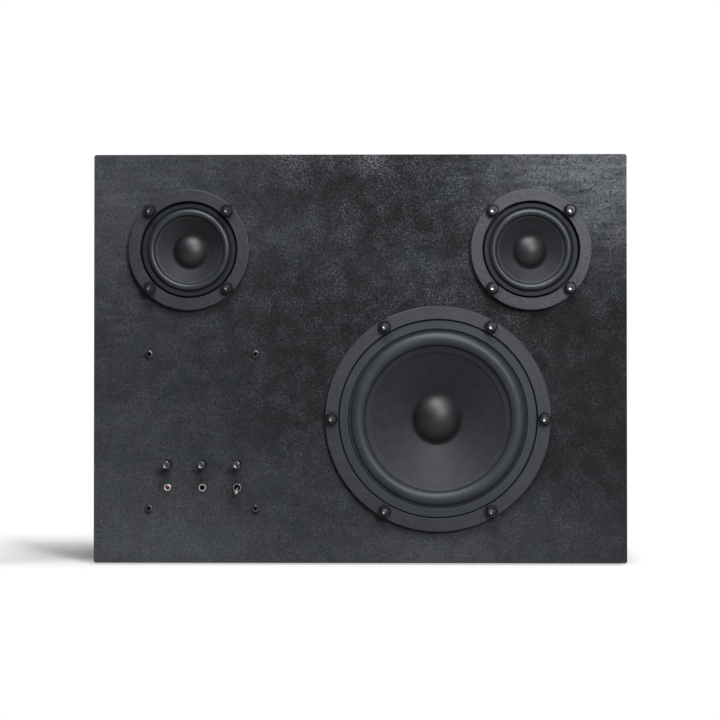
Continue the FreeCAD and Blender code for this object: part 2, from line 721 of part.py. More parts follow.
# Damping felt: sheet bonded to the inside of the back plate, cut away round the inlet
damping_felt = start_body("damping_felt")
felt_front = rear_inside + felt_thick
felt_width = opening_width - felt_edge_gap * 2
felt_height = opening_height - felt_edge_gap * 2
felt_sheet = rectangle(0, cabinet_middle, felt_width, felt_height)
extrude(damping_felt, [felt_sheet], rear_inside, felt_front)
inlet_room = felt_inlet_room * 2
felt_room = rectangle(inlet_x, inlet_up, inlet_width + inlet_room, inlet_height + inlet_room)
cut(damping_felt, [felt_room], felt_front, rear_inside)


def build_driver(name, d, x, up, screw_places, windows, window_half_angle):
    """One loudspeaker: fixed basket and motor, moving cone, and the soft parts between them."""

    # Radii from the trim ring inward
    hole_radius = d.hole_radius
    ring_radius = d.ring_radius
    flange_radius = d.flange_radius
    rim_radius = hole_radius - d.rim_gap
    rim_inner = rim_radius - d.rim_width
    ledge_inner = rim_inner - d.ledge_width
    surround_outer = rim_inner - d.surround_play
    roll_outer = surround_outer - d.surround_edge
    roll_inner = roll_outer - d.roll_width
    roll_middle = (roll_outer + roll_inner) / 2
    lip_inner = roll_inner - d.glue_width
    former_outer = d.coil_radius + d.former_thick
    winding_outer = former_outer + d.winding_thick
    plate_hole = winding_outer + d.air_gap
    pole_radius = d.coil_radius - d.air_gap
    neck_inner = former_outer + d.bond_gap / 2
    cap_outer = d.cap_radius + d.cap_lip
    seat_radius = cap_outer + d.bond_gap
    spider_radius = ledge_inner - d.bowl_taper
    bowl_inner = spider_radius + d.bond_gap
    pot_radius = bowl_inner + d.bowl_wall
    seat_inner = spider_radius - d.spider_seat
    base_hole = plate_hole + d.plate_thick / 2

    # Depths from the ring face backward
    rim_face = d.ring_thick - d.rim_setback
    ledge = rim_face - d.ledge_depth
    flange_front = panel_back - d.gasket_thick
    flange_rear = flange_front - d.flange_thick
    surround_low = ledge - d.inner_drop
    lip = surround_low - d.bond_gap
    seat = lip - d.cone_depth
    neck_end = seat - d.neck_depth
    spider_low = neck_end - d.spider_drop
    base_front = spider_low - d.spider_room
    base_rear = base_front - d.base_thick
    plate_rear = base_rear - d.plate_thick
    magnet_rear = plate_rear - d.magnet_thick
    yoke_rear = magnet_rear - d.yoke_thick
    coil_middle = base_rear - d.plate_thick / 2
    winding_top = coil_middle + d.winding_height / 2
    winding_end = coil_middle - d.winding_height / 2

    # Trim ring: turned metal ring that covers the edge of the panel hole
    ring = start_body(f"{name}_trim_ring", x=x, up=up)
    edge = d.ring_edge
    revolve(
        ring,
        [
            (hole_radius, 0),
            (ring_radius, 0),
            (ring_radius, d.ring_thick - edge, (ring_radius - edge, d.ring_thick - edge), "left"),
            (ring_radius - edge, d.ring_thick),
            (hole_radius + edge / 2, d.ring_thick),
            (hole_radius, d.ring_thick - edge / 2),
        ],
    )
    cut(ring, circles(screw_places, clear_radius), d.ring_thick, 0)

    # Ring screws: through ring, panel and gasket into the basket flange
    screw_group(
        f"{name}_screws",
        screw_places,
        d.ring_thick,
        flange_rear - screw_end_reach,
        ring_screw,
        x=x,
        up=up,
    )

    # Gasket: foam ring between the panel and the basket flange
    gasket = start_body(f"{name}_gasket", x=x, up=up)
    extrude(gasket, washer(flange_radius, hole_radius), flange_front, panel_back)
    cut(gasket, circles(screw_places, clear_radius), panel_back, flange_front)

    # Basket: cast frame with a raised rim, a bowl with windows and a pot that holds the motor
    basket = start_body(f"{name}_basket", x=x, up=up)
    revolve(
        basket,
        [
            (flange_radius, flange_front),
            (rim_radius, flange_front),
            (rim_radius, rim_face - edge / 2),
            (rim_radius - edge / 2, rim_face),
            (rim_inner + edge / 2, rim_face),
            (rim_inner, rim_face - edge / 2),
            (rim_inner, ledge),
            (ledge_inner, ledge),
            (ledge_inner, flange_rear),
            (bowl_inner, spider_low + d.spider_thick),
            (bowl_inner, spider_low),
            (seat_inner, spider_low),
            (seat_inner, base_front),
            (base_hole, base_front),
            (base_hole, base_rear),
            (pot_radius, base_rear),
            (pot_radius, spider_low),
            (ledge_inner + d.bowl_wall, flange_rear),
            (flange_radius, flange_rear),
        ],
    )
    cut(basket, circles(screw_places, thread_radius), flange_front, flange_rear)
    window_low = pot_radius + d.bowl_wall / 2
    window_high = ledge_inner - d.bowl_wall / 2
    spread_x = math.cos(math.radians(window_half_angle))
    spread_y = math.sin(math.radians(window_half_angle))
    window = cut(
        basket,
        [
            [
                (window_low * spread_x, -window_low * spread_y),
                (window_high * spread_x, -window_high * spread_y),
                (window_high * spread_x, window_high * spread_y),
                (window_low * spread_x, window_low * spread_y),
            ]
        ],
        flange_rear,
        spider_low,
    )
    repeat_round(basket, window, windows)

    # Surround: half-roll rubber edge from the basket ledge to the cone lip
    surround = start_body(f"{name}_surround", x=x, up=up)
    skin = d.surround_thick
    half_roll = d.roll_width / 2
    roll_radius = (half_roll * half_roll + d.roll_height * d.roll_height) / (d.roll_height * 2)
    roll_centre = ledge + skin + d.roll_height - roll_radius
    under_radius = roll_radius - skin
    under_reach = root(under_radius * under_radius - (ledge - roll_centre) * (ledge - roll_centre))
    flank_rise = root(under_radius * under_radius - (half_roll - skin) * (half_roll - skin))
    revolve(
        surround,
        [
            (surround_outer, ledge),
            (surround_outer, ledge + skin),
            (roll_outer, ledge + skin, (roll_middle, roll_centre), "left"),
            (roll_inner, ledge + skin),
            (roll_inner, surround_low + skin),
            (lip_inner, surround_low + skin),
            (lip_inner, surround_low),
            (roll_inner + skin, surround_low),
            (roll_inner + skin, roll_centre + flank_rise, (roll_middle, roll_centre), "right"),
            (roll_middle + under_reach, ledge),
        ],
    )

    # Cone: pressed paper diaphragm with a flat lip, a cap seat and a neck round the coil former
    cone = start_body(f"{name}_cone", x=x, up=up)
    paper = d.cone_thick
    revolve(
        cone,
        [
            (roll_inner, lip),
            (lip_inner, lip),
            (seat_radius, seat),
            (neck_inner, seat),
            (neck_inner, neck_end),
            (neck_inner + paper, neck_end),
            (neck_inner + paper, seat - paper),
            (seat_radius + paper / 2, seat - paper),
            (lip_inner + paper / 2, lip - paper),
            (roll_inner, lip - paper),
        ],
    )

    # Dust cap: dome glued over the coil former, its flat edge on the cone seat
    dust_cap = start_body(f"{name}_dust_cap", x=x, up=up)
    shell = d.cap_thick
    dome_radius = (d.cap_radius * d.cap_radius + d.cap_height * d.cap_height) / (d.cap_height * 2)
    dome_centre = seat + shell + d.cap_height - dome_radius
    hollow_radius = dome_radius - shell
    hollow_reach = root(hollow_radius * hollow_radius - (seat - dome_centre) * (seat - dome_centre))
    revolve(
        dust_cap,
        [
            (0, seat + shell + d.cap_height, (0, dome_centre), "right"),
            (d.cap_radius, seat + shell),
            (cap_outer, seat + shell),
            (cap_outer, seat),
            (hollow_reach, seat, (0, dome_centre), "left"),
            (0, seat + d.cap_height),
        ],
    )

    # Voice coil: thin tube from the neck down into the magnet gap, with the winding at its end
    voice_coil = start_body(f"{name}_voice_coil", x=x, up=up)
    revolve(
        voice_coil,
        [
            (d.coil_radius, seat),
            (d.coil_radius, winding_end),
            (winding_outer, winding_end),
            (winding_outer, winding_top),
            (former_outer, winding_top),
            (former_outer, seat),
        ],
    )

    # Spider: corrugated cloth disc that centres the coil, its flat edge on the basket seat
    spider = start_body(f"{name}_spider", x=x, up=up)
    spider_inner = former_outer + d.bond_gap
    wave_start = spider_inner + d.spider_collar
    wave_end = seat_inner - d.spider_collar / 2
    spider_top = spider_low + d.spider_thick
    upper = [(spider_inner, spider_top), (wave_start, spider_top)]
    for step in range(1, spider_folds):
        swing = 1 if step % 2 else -1
        fold = wave_start + (wave_end - wave_start) * (step / spider_folds)
        upper.append((fold, spider_top + d.spider_wave / 2 * swing))
    upper += [(wave_end, spider_top), (spider_radius, spider_top)]
    lower = [(radius, height - d.spider_thick) for radius, height in reversed(upper)]
    revolve(spider, upper + lower)

    # Top plate, magnet and yoke: the motor behind the basket
    plate_radius = d.plate_diameter / 2
    magnet_radius = d.magnet_diameter / 2
    magnet_inner = d.magnet_hole / 2
    top_plate = start_body(f"{name}_top_plate", x=x, up=up)
    extrude(top_plate, washer(plate_radius, plate_hole), plate_rear, base_rear)
    magnet = start_body(f"{name}_magnet", x=x, up=up)
    extrude(magnet, washer(magnet_radius, magnet_inner), magnet_rear, plate_rear)
    yoke = start_body(f"{name}_yoke", x=x, up=up)
    vent_radius = d.vent_diameter / 2
    revolve(
        yoke,
        [
            (vent_radius, yoke_rear),
            (plate_radius, yoke_rear),
            (plate_radius, magnet_rear),
            (pole_radius, magnet_rear),
            (pole_radius, base_rear),
            (vent_radius, base_rear),
        ],
    )
    return SimpleNamespace(pot_radius=pot_radius, pot_middle=(spider_low + base_rear) / 2)


woofer_pot = build_driver(
    "woofer",
    family("woofer"),
    woofer_x,
    woofer_up,
    woofer_screw_places,
    woofer_window_count,
    woofer_window_half_angle,
)
small_pots = [
    build_driver(
        name,
        family("small"),
        column,
        small_up,
        small_screw_places,
        small_window_count,
        small_window_half_angle,
    )
    for name, column in (("left_driver", -small_x), ("right_driver", small_x))
]

# Amplifier plate: steel plate on four pressed standoffs behind the front panel
plate_front = panel_back - amp_standoff_length
plate_back = plate_front - amp_plate_thick
part_back = plate_back - amp_part_depth
amp_plate = start_body("amp_plate")
extrude(amp_plate, [rectangle(amp_x, amp_up, plate_width, plate_height)], plate_back, plate_front)
extrude(amp_plate, circles(amp_screw_places, amp_standoff_diameter / 2), plate_front, panel_back)
knob_places = [(column, knob_up) for column in knob_columns.values()]
plate_holes = circles(knob_places, (pot_bushing_diameter + control_hole_play) / 2)
for column, diameter in ((amp_x, jack_bushing_diameter), (right_column, switch_bushing_diameter)):
    plate_holes.append(Circle(column, lower_up, (diameter + control_hole_play) / 2))
cut(amp_plate, plate_holes, plate_front, plate_back)
cut(amp_plate, circles(amp_screw_places, amp_screw_radius + screw_thread_play), panel_back, plate_back)
screw_group("amp_screws", amp_screw_places, 0, plate_back - screw_end_reach, amp_screw)

# Control potentiometers: three round cases on the board with a bearing bushing through the plate
control_pots = start_body("control_pots")
bushing_front = panel_back - pot_bushing_gap
bore_end = part_back + pot_end_wall
extrude(control_pots, circles(knob_places, pot_diameter / 2), part_back, plate_back)
extrude(control_pots, circles(knob_places, pot_bushing_diameter / 2), plate_back, bushing_front)
cut(control_pots, circles(knob_places, pot_bore / 2), bushing_front, bore_end)

# Control rods: turned spindles that are both shaft and knob, with a rounded edge,
# a dished end and a pointer line milled across its rim
rod_radius = knob_diameter / 2
dish_radius = knob_dish_width / 2
dish_rise = (dish_radius * dish_radius + knob_dish_depth * knob_dish_depth) / (knob_dish_depth * 2)
dish_floor = knob_reach - knob_dish_depth
edge_start = knob_reach - knob_edge
for label, column in knob_columns.items():
    rod = start_body(label, x=column, up=knob_up)
    revolve(
        rod,
        [
            (0, bore_end + knob_end_play),
            (rod_radius, bore_end + knob_end_play),
            (rod_radius, edge_start, (rod_radius - knob_edge, edge_start), "left"),
            (rod_radius - knob_edge, knob_reach),
            (dish_radius, knob_reach, (0, dish_floor + dish_rise), "right"),
            (0, dish_floor),
        ],
    )
    pointer = rectangle(0, rod_radius / 2, knob_line_width, rod_radius)
    cut(rod, [pointer], knob_reach, knob_reach - knob_line_depth)

# Indicator light: nickel tube in the panel with a domed lens inside
bezel_radius = led_bezel_diameter / 2
lens_hole = bezel_radius - led_bezel_wall
led_bezel = start_body("led_bezel", x=left_column, up=lower_up)
extrude(led_bezel, washer(bezel_radius, lens_hole), plate_front, led_proud)
led_lens = start_body("led_lens", x=left_column, up=lower_up)
lens_radius = lens_hole - led_lens_play
lens_sphere = (lens_radius * lens_radius + led_dome * led_dome) / (led_dome * 2)
lens_shoulder = led_proud - led_dome
revolve(
    led_lens,
    [
        (0, plate_front),
        (lens_radius, plate_front),
        (lens_radius, lens_shoulder, (0, led_proud - lens_sphere), "left"),
        (0, led_proud),
    ],
)

# Audio socket: threaded bushing through the panel and a moulded case on the board
aux_jack = start_body("aux_jack", x=amp_x, up=lower_up)
jack_case = rectangle(0, 0, jack_body_width, jack_body_width)
extrude(aux_jack, [jack_case], part_back, plate_back)
extrude(aux_jack, [Circle(0, 0, jack_bushing_diameter / 2)], plate_back, jack_proud)
cut(aux_jack, [Circle(0, 0, jack_bore / 2)], jack_proud, jack_proud - jack_bore_depth)

# Toggle switch: case on the board with a bushing through the panel
switch_body = start_body("switch_body", x=right_column, up=lower_up)
switch_case = rectangle(0, 0, switch_body_width, switch_body_height)
extrude(switch_body, [switch_case], part_back, plate_back)
extrude(switch_body, [Circle(0, 0, switch_bushing_diameter / 2)], plate_back, switch_proud)
cut(switch_body, [Circle(0, 0, switch_bore / 2)], switch_proud, switch_proud - switch_cavity_depth)

# Toggle lever: ball on a tapered bat, thrown down
pivot_y = y_front + switch_pivot_depth
switch_lever = start_body("switch_lever", x=right_column, y=pivot_y, up=lower_up)
ball_radius = switch_ball_diameter / 2
lever_root_radius = switch_lever_root / 2
lever_tip_radius = switch_lever_tip / 2
lever_length = switch_lever_reach + switch_pivot_depth
tip_centre = lever_length - lever_tip_radius
root_rise = root(ball_radius * ball_radius - lever_root_radius * lever_root_radius)
revolve(
    switch_lever,
    [
        (0, -ball_radius, (0, 0), "left"),
        (lever_root_radius, root_rise),
        (lever_tip_radius, tip_centre, (0, tip_centre), "left"),
        (0, lever_length),
    ],
)
lever_turn = Rotation(Vector(1, 0, 0), 90 + switch_throw.value)
switch_lever.Placement = Placement(switch_lever.Placement.Base, lever_turn)
bind(switch_lever, "Placement.Rotation.Angle", switch_throw + 90)

# Amplifier board: circuit board on the backs of the controls, with its capacitors
board_back = part_back - amp_board_thick
amp_board = start_body("amp_board")
board_width = plate_width - amp_board_margin * 2
board_height = plate_height - amp_board_margin * 2
extrude(amp_board, [rectangle(amp_x, amp_up, board_width, board_height)], board_back, part_back)
capacitor_up = amp_up - capacitor_drop
capacitor_places = [(amp_x + capacitor_pitch * (step - 1.5), capacitor_up) for step in range(4)]
capacitor_end = board_back - capacitor_length
extrude(amp_board, circles(capacitor_places, capacitor_diameter / 2), capacitor_end, board_back)

# Heat sink: extruded aluminium comb on the back of the board
amp_heat_sink = start_body("amp_heat_sink", x=amp_x, up=amp_up + heat_sink_rise)
sink_back = board_back - heat_sink_base
fin_pitch = (heat_sink_width - heat_sink_fin_thick) / (heat_sink_fin_count - 1)
sink_base = rectangle(0, 0, heat_sink_width, heat_sink_height)
extrude(amp_heat_sink, [sink_base], sink_back, board_back)
fin_steps = [step - (heat_sink_fin_count - 1) / 2 for step in range(heat_sink_fin_count)]
fins = [rectangle(fin_pitch * step, 0, heat_sink_fin_thick, heat_sink_height) for step in fin_steps]
extrude(amp_heat_sink, fins, sink_back - heat_sink_fin_length, sink_back)

# Power supply: circuit board on posts on the cabinet floor, with transformer and storage cans
supply_x = cabinet_wall + supply_side_gap + supply_length / 2 - half_width
supply_y = y_front - felt_front - supply_rear_gap - supply_width / 2
floor_top = floor_edge + cabinet_wall
power_supply = start_body("power_supply", x=supply_x, y=supply_y, up=floor_top, turned=False)
post_x = supply_length / 2 - supply_standoff
post_y = supply_width / 2 - supply_standoff
post_places = [(post_x * side, post_y * end) for side in (-1, 1) for end in (-1, 1)]
board_top = supply_standoff + supply_board_thick
extrude(power_supply, circles(post_places, supply_standoff / 2), 0, supply_standoff)
extrude(power_supply, [rectangle(0, 0, supply_length, supply_width)], supply_standoff, board_top)
core = rectangle(-supply_core_length / 2, 0, supply_core_length, supply_core_width)
extrude(power_supply, [core], board_top, board_top + supply_core_height)
can_x = supply_length / 2 - supply_can_inset
can_step = (supply_can_diameter + supply_can_gap) / 2
can_places = [(can_x, can_step * side) for side in (-1, 1)]
can_top = board_top + supply_can_height
extrude(power_supply, circles(can_places, supply_can_diameter / 2), board_top, can_top)


def lead(*points):
    """One round lead along straight runs with rounded corners."""
    spots = [Vector(*[as_length(length).value for length in point]) for point in points]
    bend = wire_bend.value
    edges = []
    start = spots[0]
    for before, corner, after in zip(spots, spots[1:], spots[2:]):
        arrive = (corner - before).normalize()
        leave = (after - corner).normalize()
        arc_start = corner - arrive * bend
        arc_middle = corner + (leave - arrive) * (bend * (1 - math.sqrt(0.5)))
        arc_end = corner + leave * bend
        edges.append(Part.LineSegment(start, arc_start).toShape())
        edges.append(Part.Arc(arc_start, arc_middle, arc_end).toShape())
        start = arc_end
    edges.append(Part.LineSegment(start, spots[-1]).toShape())
    section = Part.Wire([Part.makeCircle(wire_radius.value, spots[0], spots[1] - spots[0])])
    return Part.Wire(edges).makePipeShell([section], True, True)


# Wiring: round leads from the board to each driver, and from the inlet and the supply to the board
board_y = y_front - board_back
small_pot_radius = small_pots[0].pot_radius
small_pot_y = y_front - small_pots[0].pot_middle
woofer_pot_y = y_front - woofer_pot.pot_middle
back_y = board_y + wire_back_run
sink_right = amp_x + heat_sink_width / 2
sink_lane = sink_right + wire_side_gap
right_lane = sink_right
supply_top = floor_top + board_top
row_up = amp_up + board_height / 2 - wire_row_inset
drop_up = small_up - small_pot_radius - wire_drop
riser_up = amp_up - wire_riser_drop
supply_right = supply_x + supply_length / 2
supply_front = supply_y - supply_width / 2
inlet_y = y_front - inlet_back
inlet_lane_y = inlet_y - wire_back_run
mains_up = supply_top + wire_bend + wire_radius
wiring_harness = doc.addObject("Part::Feature", "wiring_harness")
wiring_harness.Label = "wiring_harness"
wiring_harness.Shape = Part.makeCompound(
    [
        lead(
            (-small_x, small_pot_y, small_up - small_pot_radius),
            (-small_x, small_pot_y, drop_up),
            (-small_x, back_y, drop_up),
            (-small_x, back_y, row_up),
            (-small_x, board_y, row_up),
        ),
        lead(
            (small_x - small_pot_radius, small_pot_y, small_up),
            (right_lane, small_pot_y, small_up),
            (right_lane, small_pot_y, drop_up),
            (right_lane, back_y, drop_up),
            (right_lane, back_y, row_up),
            (right_lane, board_y, row_up),
        ),
        lead(
            (woofer_x - woofer_pot.pot_radius, woofer_pot_y, woofer_up),
            (sink_lane, woofer_pot_y, woofer_up),
            (sink_lane, board_y, woofer_up),
        ),
        lead(
            (supply_right - wire_bend * 2, supply_front + wire_bend * 2, supply_top),
            (supply_right - wire_bend * 2, supply_front + wire_bend * 2, riser_up),
            (supply_right - wire_bend * 2, board_y, riser_up),
        ),
        lead(
            (inlet_x, inlet_y, inlet_up),
            (inlet_x, inlet_lane_y, inlet_up),
            (inlet_x, inlet_lane_y, mains_up),
            (supply_right - wire_bend, inlet_lane_y, mains_up),
            (supply_right - wire_bend, inlet_lane_y, supply_top),
        ),
    ]
)
nodes.append(wiring_harness)

doc.recompute()

# Every object must have built cleanly before its file is written
for thing in doc.Objects:
    if "Invalid" in thing.State or "Error" in thing.State:
        raise RuntimeError(f"{thing.Label} did not build")
for node in nodes:
    shape = node.Shape
    if shape.isNull() or not shape.isValid() or not shape.Solids:
        raise RuntimeError(f"{node.Label} has no valid solid")
    shape.exportStep(f"parts/{node.Label}.step")
print(len(nodes), "nodes written")
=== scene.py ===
import bmesh
import bpy
import math
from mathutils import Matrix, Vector


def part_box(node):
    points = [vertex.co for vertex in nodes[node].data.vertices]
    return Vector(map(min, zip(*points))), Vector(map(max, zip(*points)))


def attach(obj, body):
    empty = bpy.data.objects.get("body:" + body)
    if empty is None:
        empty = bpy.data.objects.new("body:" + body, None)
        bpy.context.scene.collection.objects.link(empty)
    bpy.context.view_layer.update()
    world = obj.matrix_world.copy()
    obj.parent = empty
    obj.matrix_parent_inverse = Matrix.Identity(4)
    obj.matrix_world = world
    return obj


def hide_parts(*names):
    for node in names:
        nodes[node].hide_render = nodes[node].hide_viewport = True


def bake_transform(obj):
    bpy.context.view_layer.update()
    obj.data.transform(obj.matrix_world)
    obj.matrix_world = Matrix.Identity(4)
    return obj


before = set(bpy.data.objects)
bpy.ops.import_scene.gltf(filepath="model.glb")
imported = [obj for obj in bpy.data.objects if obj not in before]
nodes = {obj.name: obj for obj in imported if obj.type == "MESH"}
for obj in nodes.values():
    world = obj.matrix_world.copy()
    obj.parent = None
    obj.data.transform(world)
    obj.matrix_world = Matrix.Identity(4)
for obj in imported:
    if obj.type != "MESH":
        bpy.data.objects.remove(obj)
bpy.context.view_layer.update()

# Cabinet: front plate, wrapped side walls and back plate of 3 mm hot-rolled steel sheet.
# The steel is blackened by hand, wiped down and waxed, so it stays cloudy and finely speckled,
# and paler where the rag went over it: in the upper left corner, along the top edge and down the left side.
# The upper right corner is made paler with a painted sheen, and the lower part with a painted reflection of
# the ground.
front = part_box("front_panel")[0][1]
COOL_STEEL = (0.925, 1.000, 1.090, 1)
WARM_STEEL = (0.970, 0.980, 1.085, 1)
STEEL_EDGE = 0.0004
JOINED_POINTS = 1e-6


def shader_group(name, inputs, outputs):
    """An empty node group with named sockets; returns it with its two end nodes."""
    group = bpy.data.node_groups.new(name, "ShaderNodeTree")
    for label, kind, value in inputs:
        socket = group.interface.new_socket(name=label, in_out="INPUT", socket_type=kind)
        if value is not None:
            socket.default_value = value
    for label, kind in outputs:
        group.interface.new_socket(name=label, in_out="OUTPUT", socket_type=kind)
    return group, group.nodes.new("NodeGroupInput"), group.nodes.new("NodeGroupOutput")


def add(tree, kind, **values):
    """A node of one kind with some of its sockets set by name."""
    node = tree.nodes.new("ShaderNode" + kind)
    for label, value in values.items():
        node.inputs[label.replace("_", " ")].default_value = value
    return node


def combine(tree, operation, first, second):
    """A sum, difference or product of two values, each a socket or a plain number."""
    node = tree.nodes.new("ShaderNodeMath")
    node.operation = operation
    for socket, value in zip(node.inputs, (first, second)):
        if isinstance(value, (int, float)):
            socket.default_value = value
        else:
            tree.links.new(value, socket)
    return node.outputs["Value"]


def patches_group():
    """Soft cloudy patches: a mask from 0 to 1 between two noise levels."""
    group, start, end = shader_group(
        "patches",
        [
            ("Vector", "NodeSocketVector", None),
            ("Scale", "NodeSocketFloat", 10.0),
            ("Low", "NodeSocketFloat", 0.35),
            ("High", "NodeSocketFloat", 0.65),
            ("Curl", "NodeSocketFloat", 0.35),
        ],
        [("Mask", "NodeSocketFloat")],
    )
    noise = add(group, "TexNoise", Detail=6.0, Roughness=0.62)
    spread = group.nodes.new("ShaderNodeMapRange")
    spread.interpolation_type = "SMOOTHSTEP"
    group.links.new(start.outputs["Vector"], noise.inputs["Vector"])
    group.links.new(start.outputs["Scale"], noise.inputs["Scale"])
    group.links.new(start.outputs["Curl"], noise.inputs["Distortion"])
    group.links.new(noise.outputs["Fac"], spread.inputs["Value"])
    group.links.new(start.outputs["Low"], spread.inputs["From Min"])
    group.links.new(start.outputs["High"], spread.inputs["From Max"])
    group.links.new(spread.outputs["Result"], end.inputs["Mask"])
    return group


def grain_group():
    """Fine even grain, as a height and as a shade that goes a little over and under 1."""
    group, start, end = shader_group(
        "fine_grain",
        [
            ("Vector", "NodeSocketVector", None),
            ("Scale", "NodeSocketFloat", 900.0),
            ("Depth", "NodeSocketFloat", 0.3),
        ],
        [("Height", "NodeSocketFloat"), ("Shade", "NodeSocketFloat")],
    )
    noise = add(group, "TexNoise", Detail=3.0, Roughness=0.7)
    centred = combine(group, "SUBTRACT", noise.outputs["Fac"], 0.5)
    scaled = combine(group, "MULTIPLY", centred, start.outputs["Depth"])
    shade = combine(group, "ADD", scaled, 1.0)
    group.links.new(start.outputs["Vector"], noise.inputs["Vector"])
    group.links.new(start.outputs["Scale"], noise.inputs["Scale"])
    group.links.new(noise.outputs["Fac"], end.inputs["Height"])
    group.links.new(shade, end.inputs["Shade"])
    return group


PATCHES = patches_group()
GRAIN = grain_group()


def start_finish(name):
    """An empty material, with its tree, its shader and the piece's own coordinates."""
    material = bpy.data.materials.new(name)
    material.use_nodes = True
    tree = material.node_tree
    place = tree.nodes.new("ShaderNodeTexCoord")
    return material, tree, tree.nodes["Principled BSDF"], place.outputs["Object"]


def place_group(tree, group, place, **values):
    """One of the shared node groups, laid on the piece's coordinates with its own values."""
    node = tree.nodes.new("ShaderNodeGroup")
    node.node_tree = group
    tree.links.new(place, node.inputs["Vector"])
    for label, value in values.items():
        node.inputs[label].default_value = value
    return node


def mix_colours(tree, factor, first, second):
    """A blend of two colours, each a socket or a plain colour, from first at 0 to second at 1."""
    mix = tree.nodes.new("ShaderNodeMix")
    mix.data_type = "RGBA"
    tree.links.new(factor, mix.inputs["Factor"])
    for socket, colour in ((mix.inputs[6], first), (mix.inputs[7], second)):
        if isinstance(colour, tuple):
            socket.default_value = colour
        else:
            tree.links.new(colour, socket)
    return mix.outputs[2]


def vary(tree, factor, low, high):
    """A value that goes from low to high as a mask goes from 0 to 1."""
    spread = tree.nodes.new("ShaderNodeMapRange")
    tree.links.new(factor, spread.inputs["Value"])
    spread.inputs["To Min"].default_value = low
    spread.inputs["To Max"].default_value = high
    return spread.outputs["Result"]


def near(tree, place, point, reach):
    """A mask that is 1 at a point of the piece and fades to 0 at a distance from it."""
    away = tree.nodes.new("ShaderNodeVectorMath")
    away.operation = "DISTANCE"
    tree.links.new(place, away.inputs[0])
    away.inputs[1].default_value = point
    fade = tree.nodes.new("ShaderNodeMapRange")
    fade.interpolation_type = "SMOOTHSTEP"
    tree.links.new(away.outputs["Value"], fade.inputs["Value"])
    fade.inputs["From Max"].default_value = reach
    fade.inputs["To Min"].default_value = 1.0
    fade.inputs["To Max"].default_value = 0.0
    return fade.outputs["Result"]


def raise_grain(tree, shader, height, strength, distance):
    """Lets a pattern stand up a little from the surface."""
    bump = add(tree, "Bump", Strength=strength, Distance=distance)
    tree.links.new(height, bump.inputs["Height"])
    tree.links.new(bump.outputs["Normal"], shader.inputs["Normal"])


def dress(material, *names):
    """Gives one finish to some of the frame's pieces."""
    for name in names:
        nodes[name].data.materials.clear()
        nodes[name].data.materials.append(material)


def soften_edges(piece, width):
    """Closes a loose mesh and rolls its sharp edges over, as on a deburred sheet."""
    weld = piece.modifiers.new("closed", "WELD")
    weld.merge_threshold = JOINED_POINTS
    bevel = piece.modifiers.new("edges", "BEVEL")
    bevel.width = width
    bevel.segments = 2
    bevel.limit_method = "ANGLE"
    bevel.angle_limit = math.radians(40)


def wipe(tree, place, degrees, stretch):
    """The piece's coordinates drawn out along one direction, as a rag leaves its strokes."""
    drawn = tree.nodes.new("ShaderNodeMapping")
    drawn.inputs["Rotation"].default_value = (0, math.radians(degrees), 0)
    drawn.inputs["Scale"].default_value = (stretch, 1, 1)
    tree.links.new(place, drawn.inputs["Vector"])
    return drawn.outputs["Vector"]


steel, tree, shader, place = start_finish("blackened_steel")
across_plate = wipe(tree, place, -38, 0.4)
level_plate = wipe(tree, place, 12, 0.16)
clouds = place_group(tree, PATCHES, across_plate, Scale=14.0, Low=0.36, High=0.66).outputs["Mask"]
mottle = place_group(tree, PATCHES, place, Scale=70.0, Low=0.36, High=0.68).outputs["Mask"]
specks = place_group(tree, PATCHES, place, Scale=900.0, Low=0.46, High=0.68, Curl=0.6).outputs["Mask"]
pits = place_group(tree, PATCHES, place, Scale=380.0, Low=0.52, High=0.64).outputs["Mask"]
strokes = place_group(tree, PATCHES, level_plate, Scale=330.0, Low=0.32, High=0.70).outputs["Mask"]
stain = place_group(tree, PATCHES, place, Scale=32.0, Low=0.40, High=0.60).outputs["Mask"]
grain = place_group(tree, GRAIN, place, Scale=1300.0, Depth=3.0)
rough_side = near(tree, place, (0.130, front, 0.260), 0.36)
dark_side = near(tree, place, (0.200, front, 0.130), 0.17)
tone = vary(tree, clouds, 0.003, 0.014)
tone = combine(tree, "ADD", tone, combine(tree, "MULTIPLY", mottle, 0.006))
speckle = combine(tree, "MULTIPLY", specks, vary(tree, mottle, 0.020, 0.080))
speckle = combine(tree, "MULTIPLY", speckle, vary(tree, rough_side, 0.45, 1.7))
tone = combine(tree, "ADD", tone, speckle)
# each pale spot, wiped or painted as marked below: across, up, how far it reaches, the pattern in it, and
# its weakest and strongest tone
for across, up, reach, mask, low, high in (
    (-0.205, 0.310, 0.22, strokes, 0.034, 0.048),
    (-0.225, 0.150, 0.20, strokes, 0.010, 0.018),
    (-0.050, 0.303, 0.022, specks, 0.0, 0.160),
    (-0.022, 0.302, 0.018, specks, 0.0, 0.120),
    (0.008, 0.304, 0.026, specks, 0.02, 0.200),
    # painted sheen: the upper right corner made paler in the wiped strokes, as the lamps would shine on the
    # wax
    (0.190, 0.325, 0.16, strokes, 0.045, 0.130),
    # painted reflection: these three spots make the lower part paler, as the white ground would shine up
    # into it
    (-0.190, -0.030, 0.20, clouds, 0.060, 0.066),
    (0.030, -0.080, 0.24, clouds, 0.050, 0.060),
    (0.210, -0.040, 0.13, clouds, 0.014, 0.024),
):
    spot = near(tree, place, (across, front, up), reach)
    tone = combine(tree, "ADD", tone, combine(tree, "MULTIPLY", spot, vary(tree, mask, low, high)))
pitted = combine(tree, "MULTIPLY", pits, vary(tree, rough_side, 0.25, 0.7))
tone = combine(tree, "MULTIPLY", tone, combine(tree, "SUBTRACT", 1.12, pitted))
tone = combine(tree, "MULTIPLY", tone, grain.outputs["Shade"])
tone = combine(tree, "MULTIPLY", tone, vary(tree, dark_side, 1.0, 0.55))
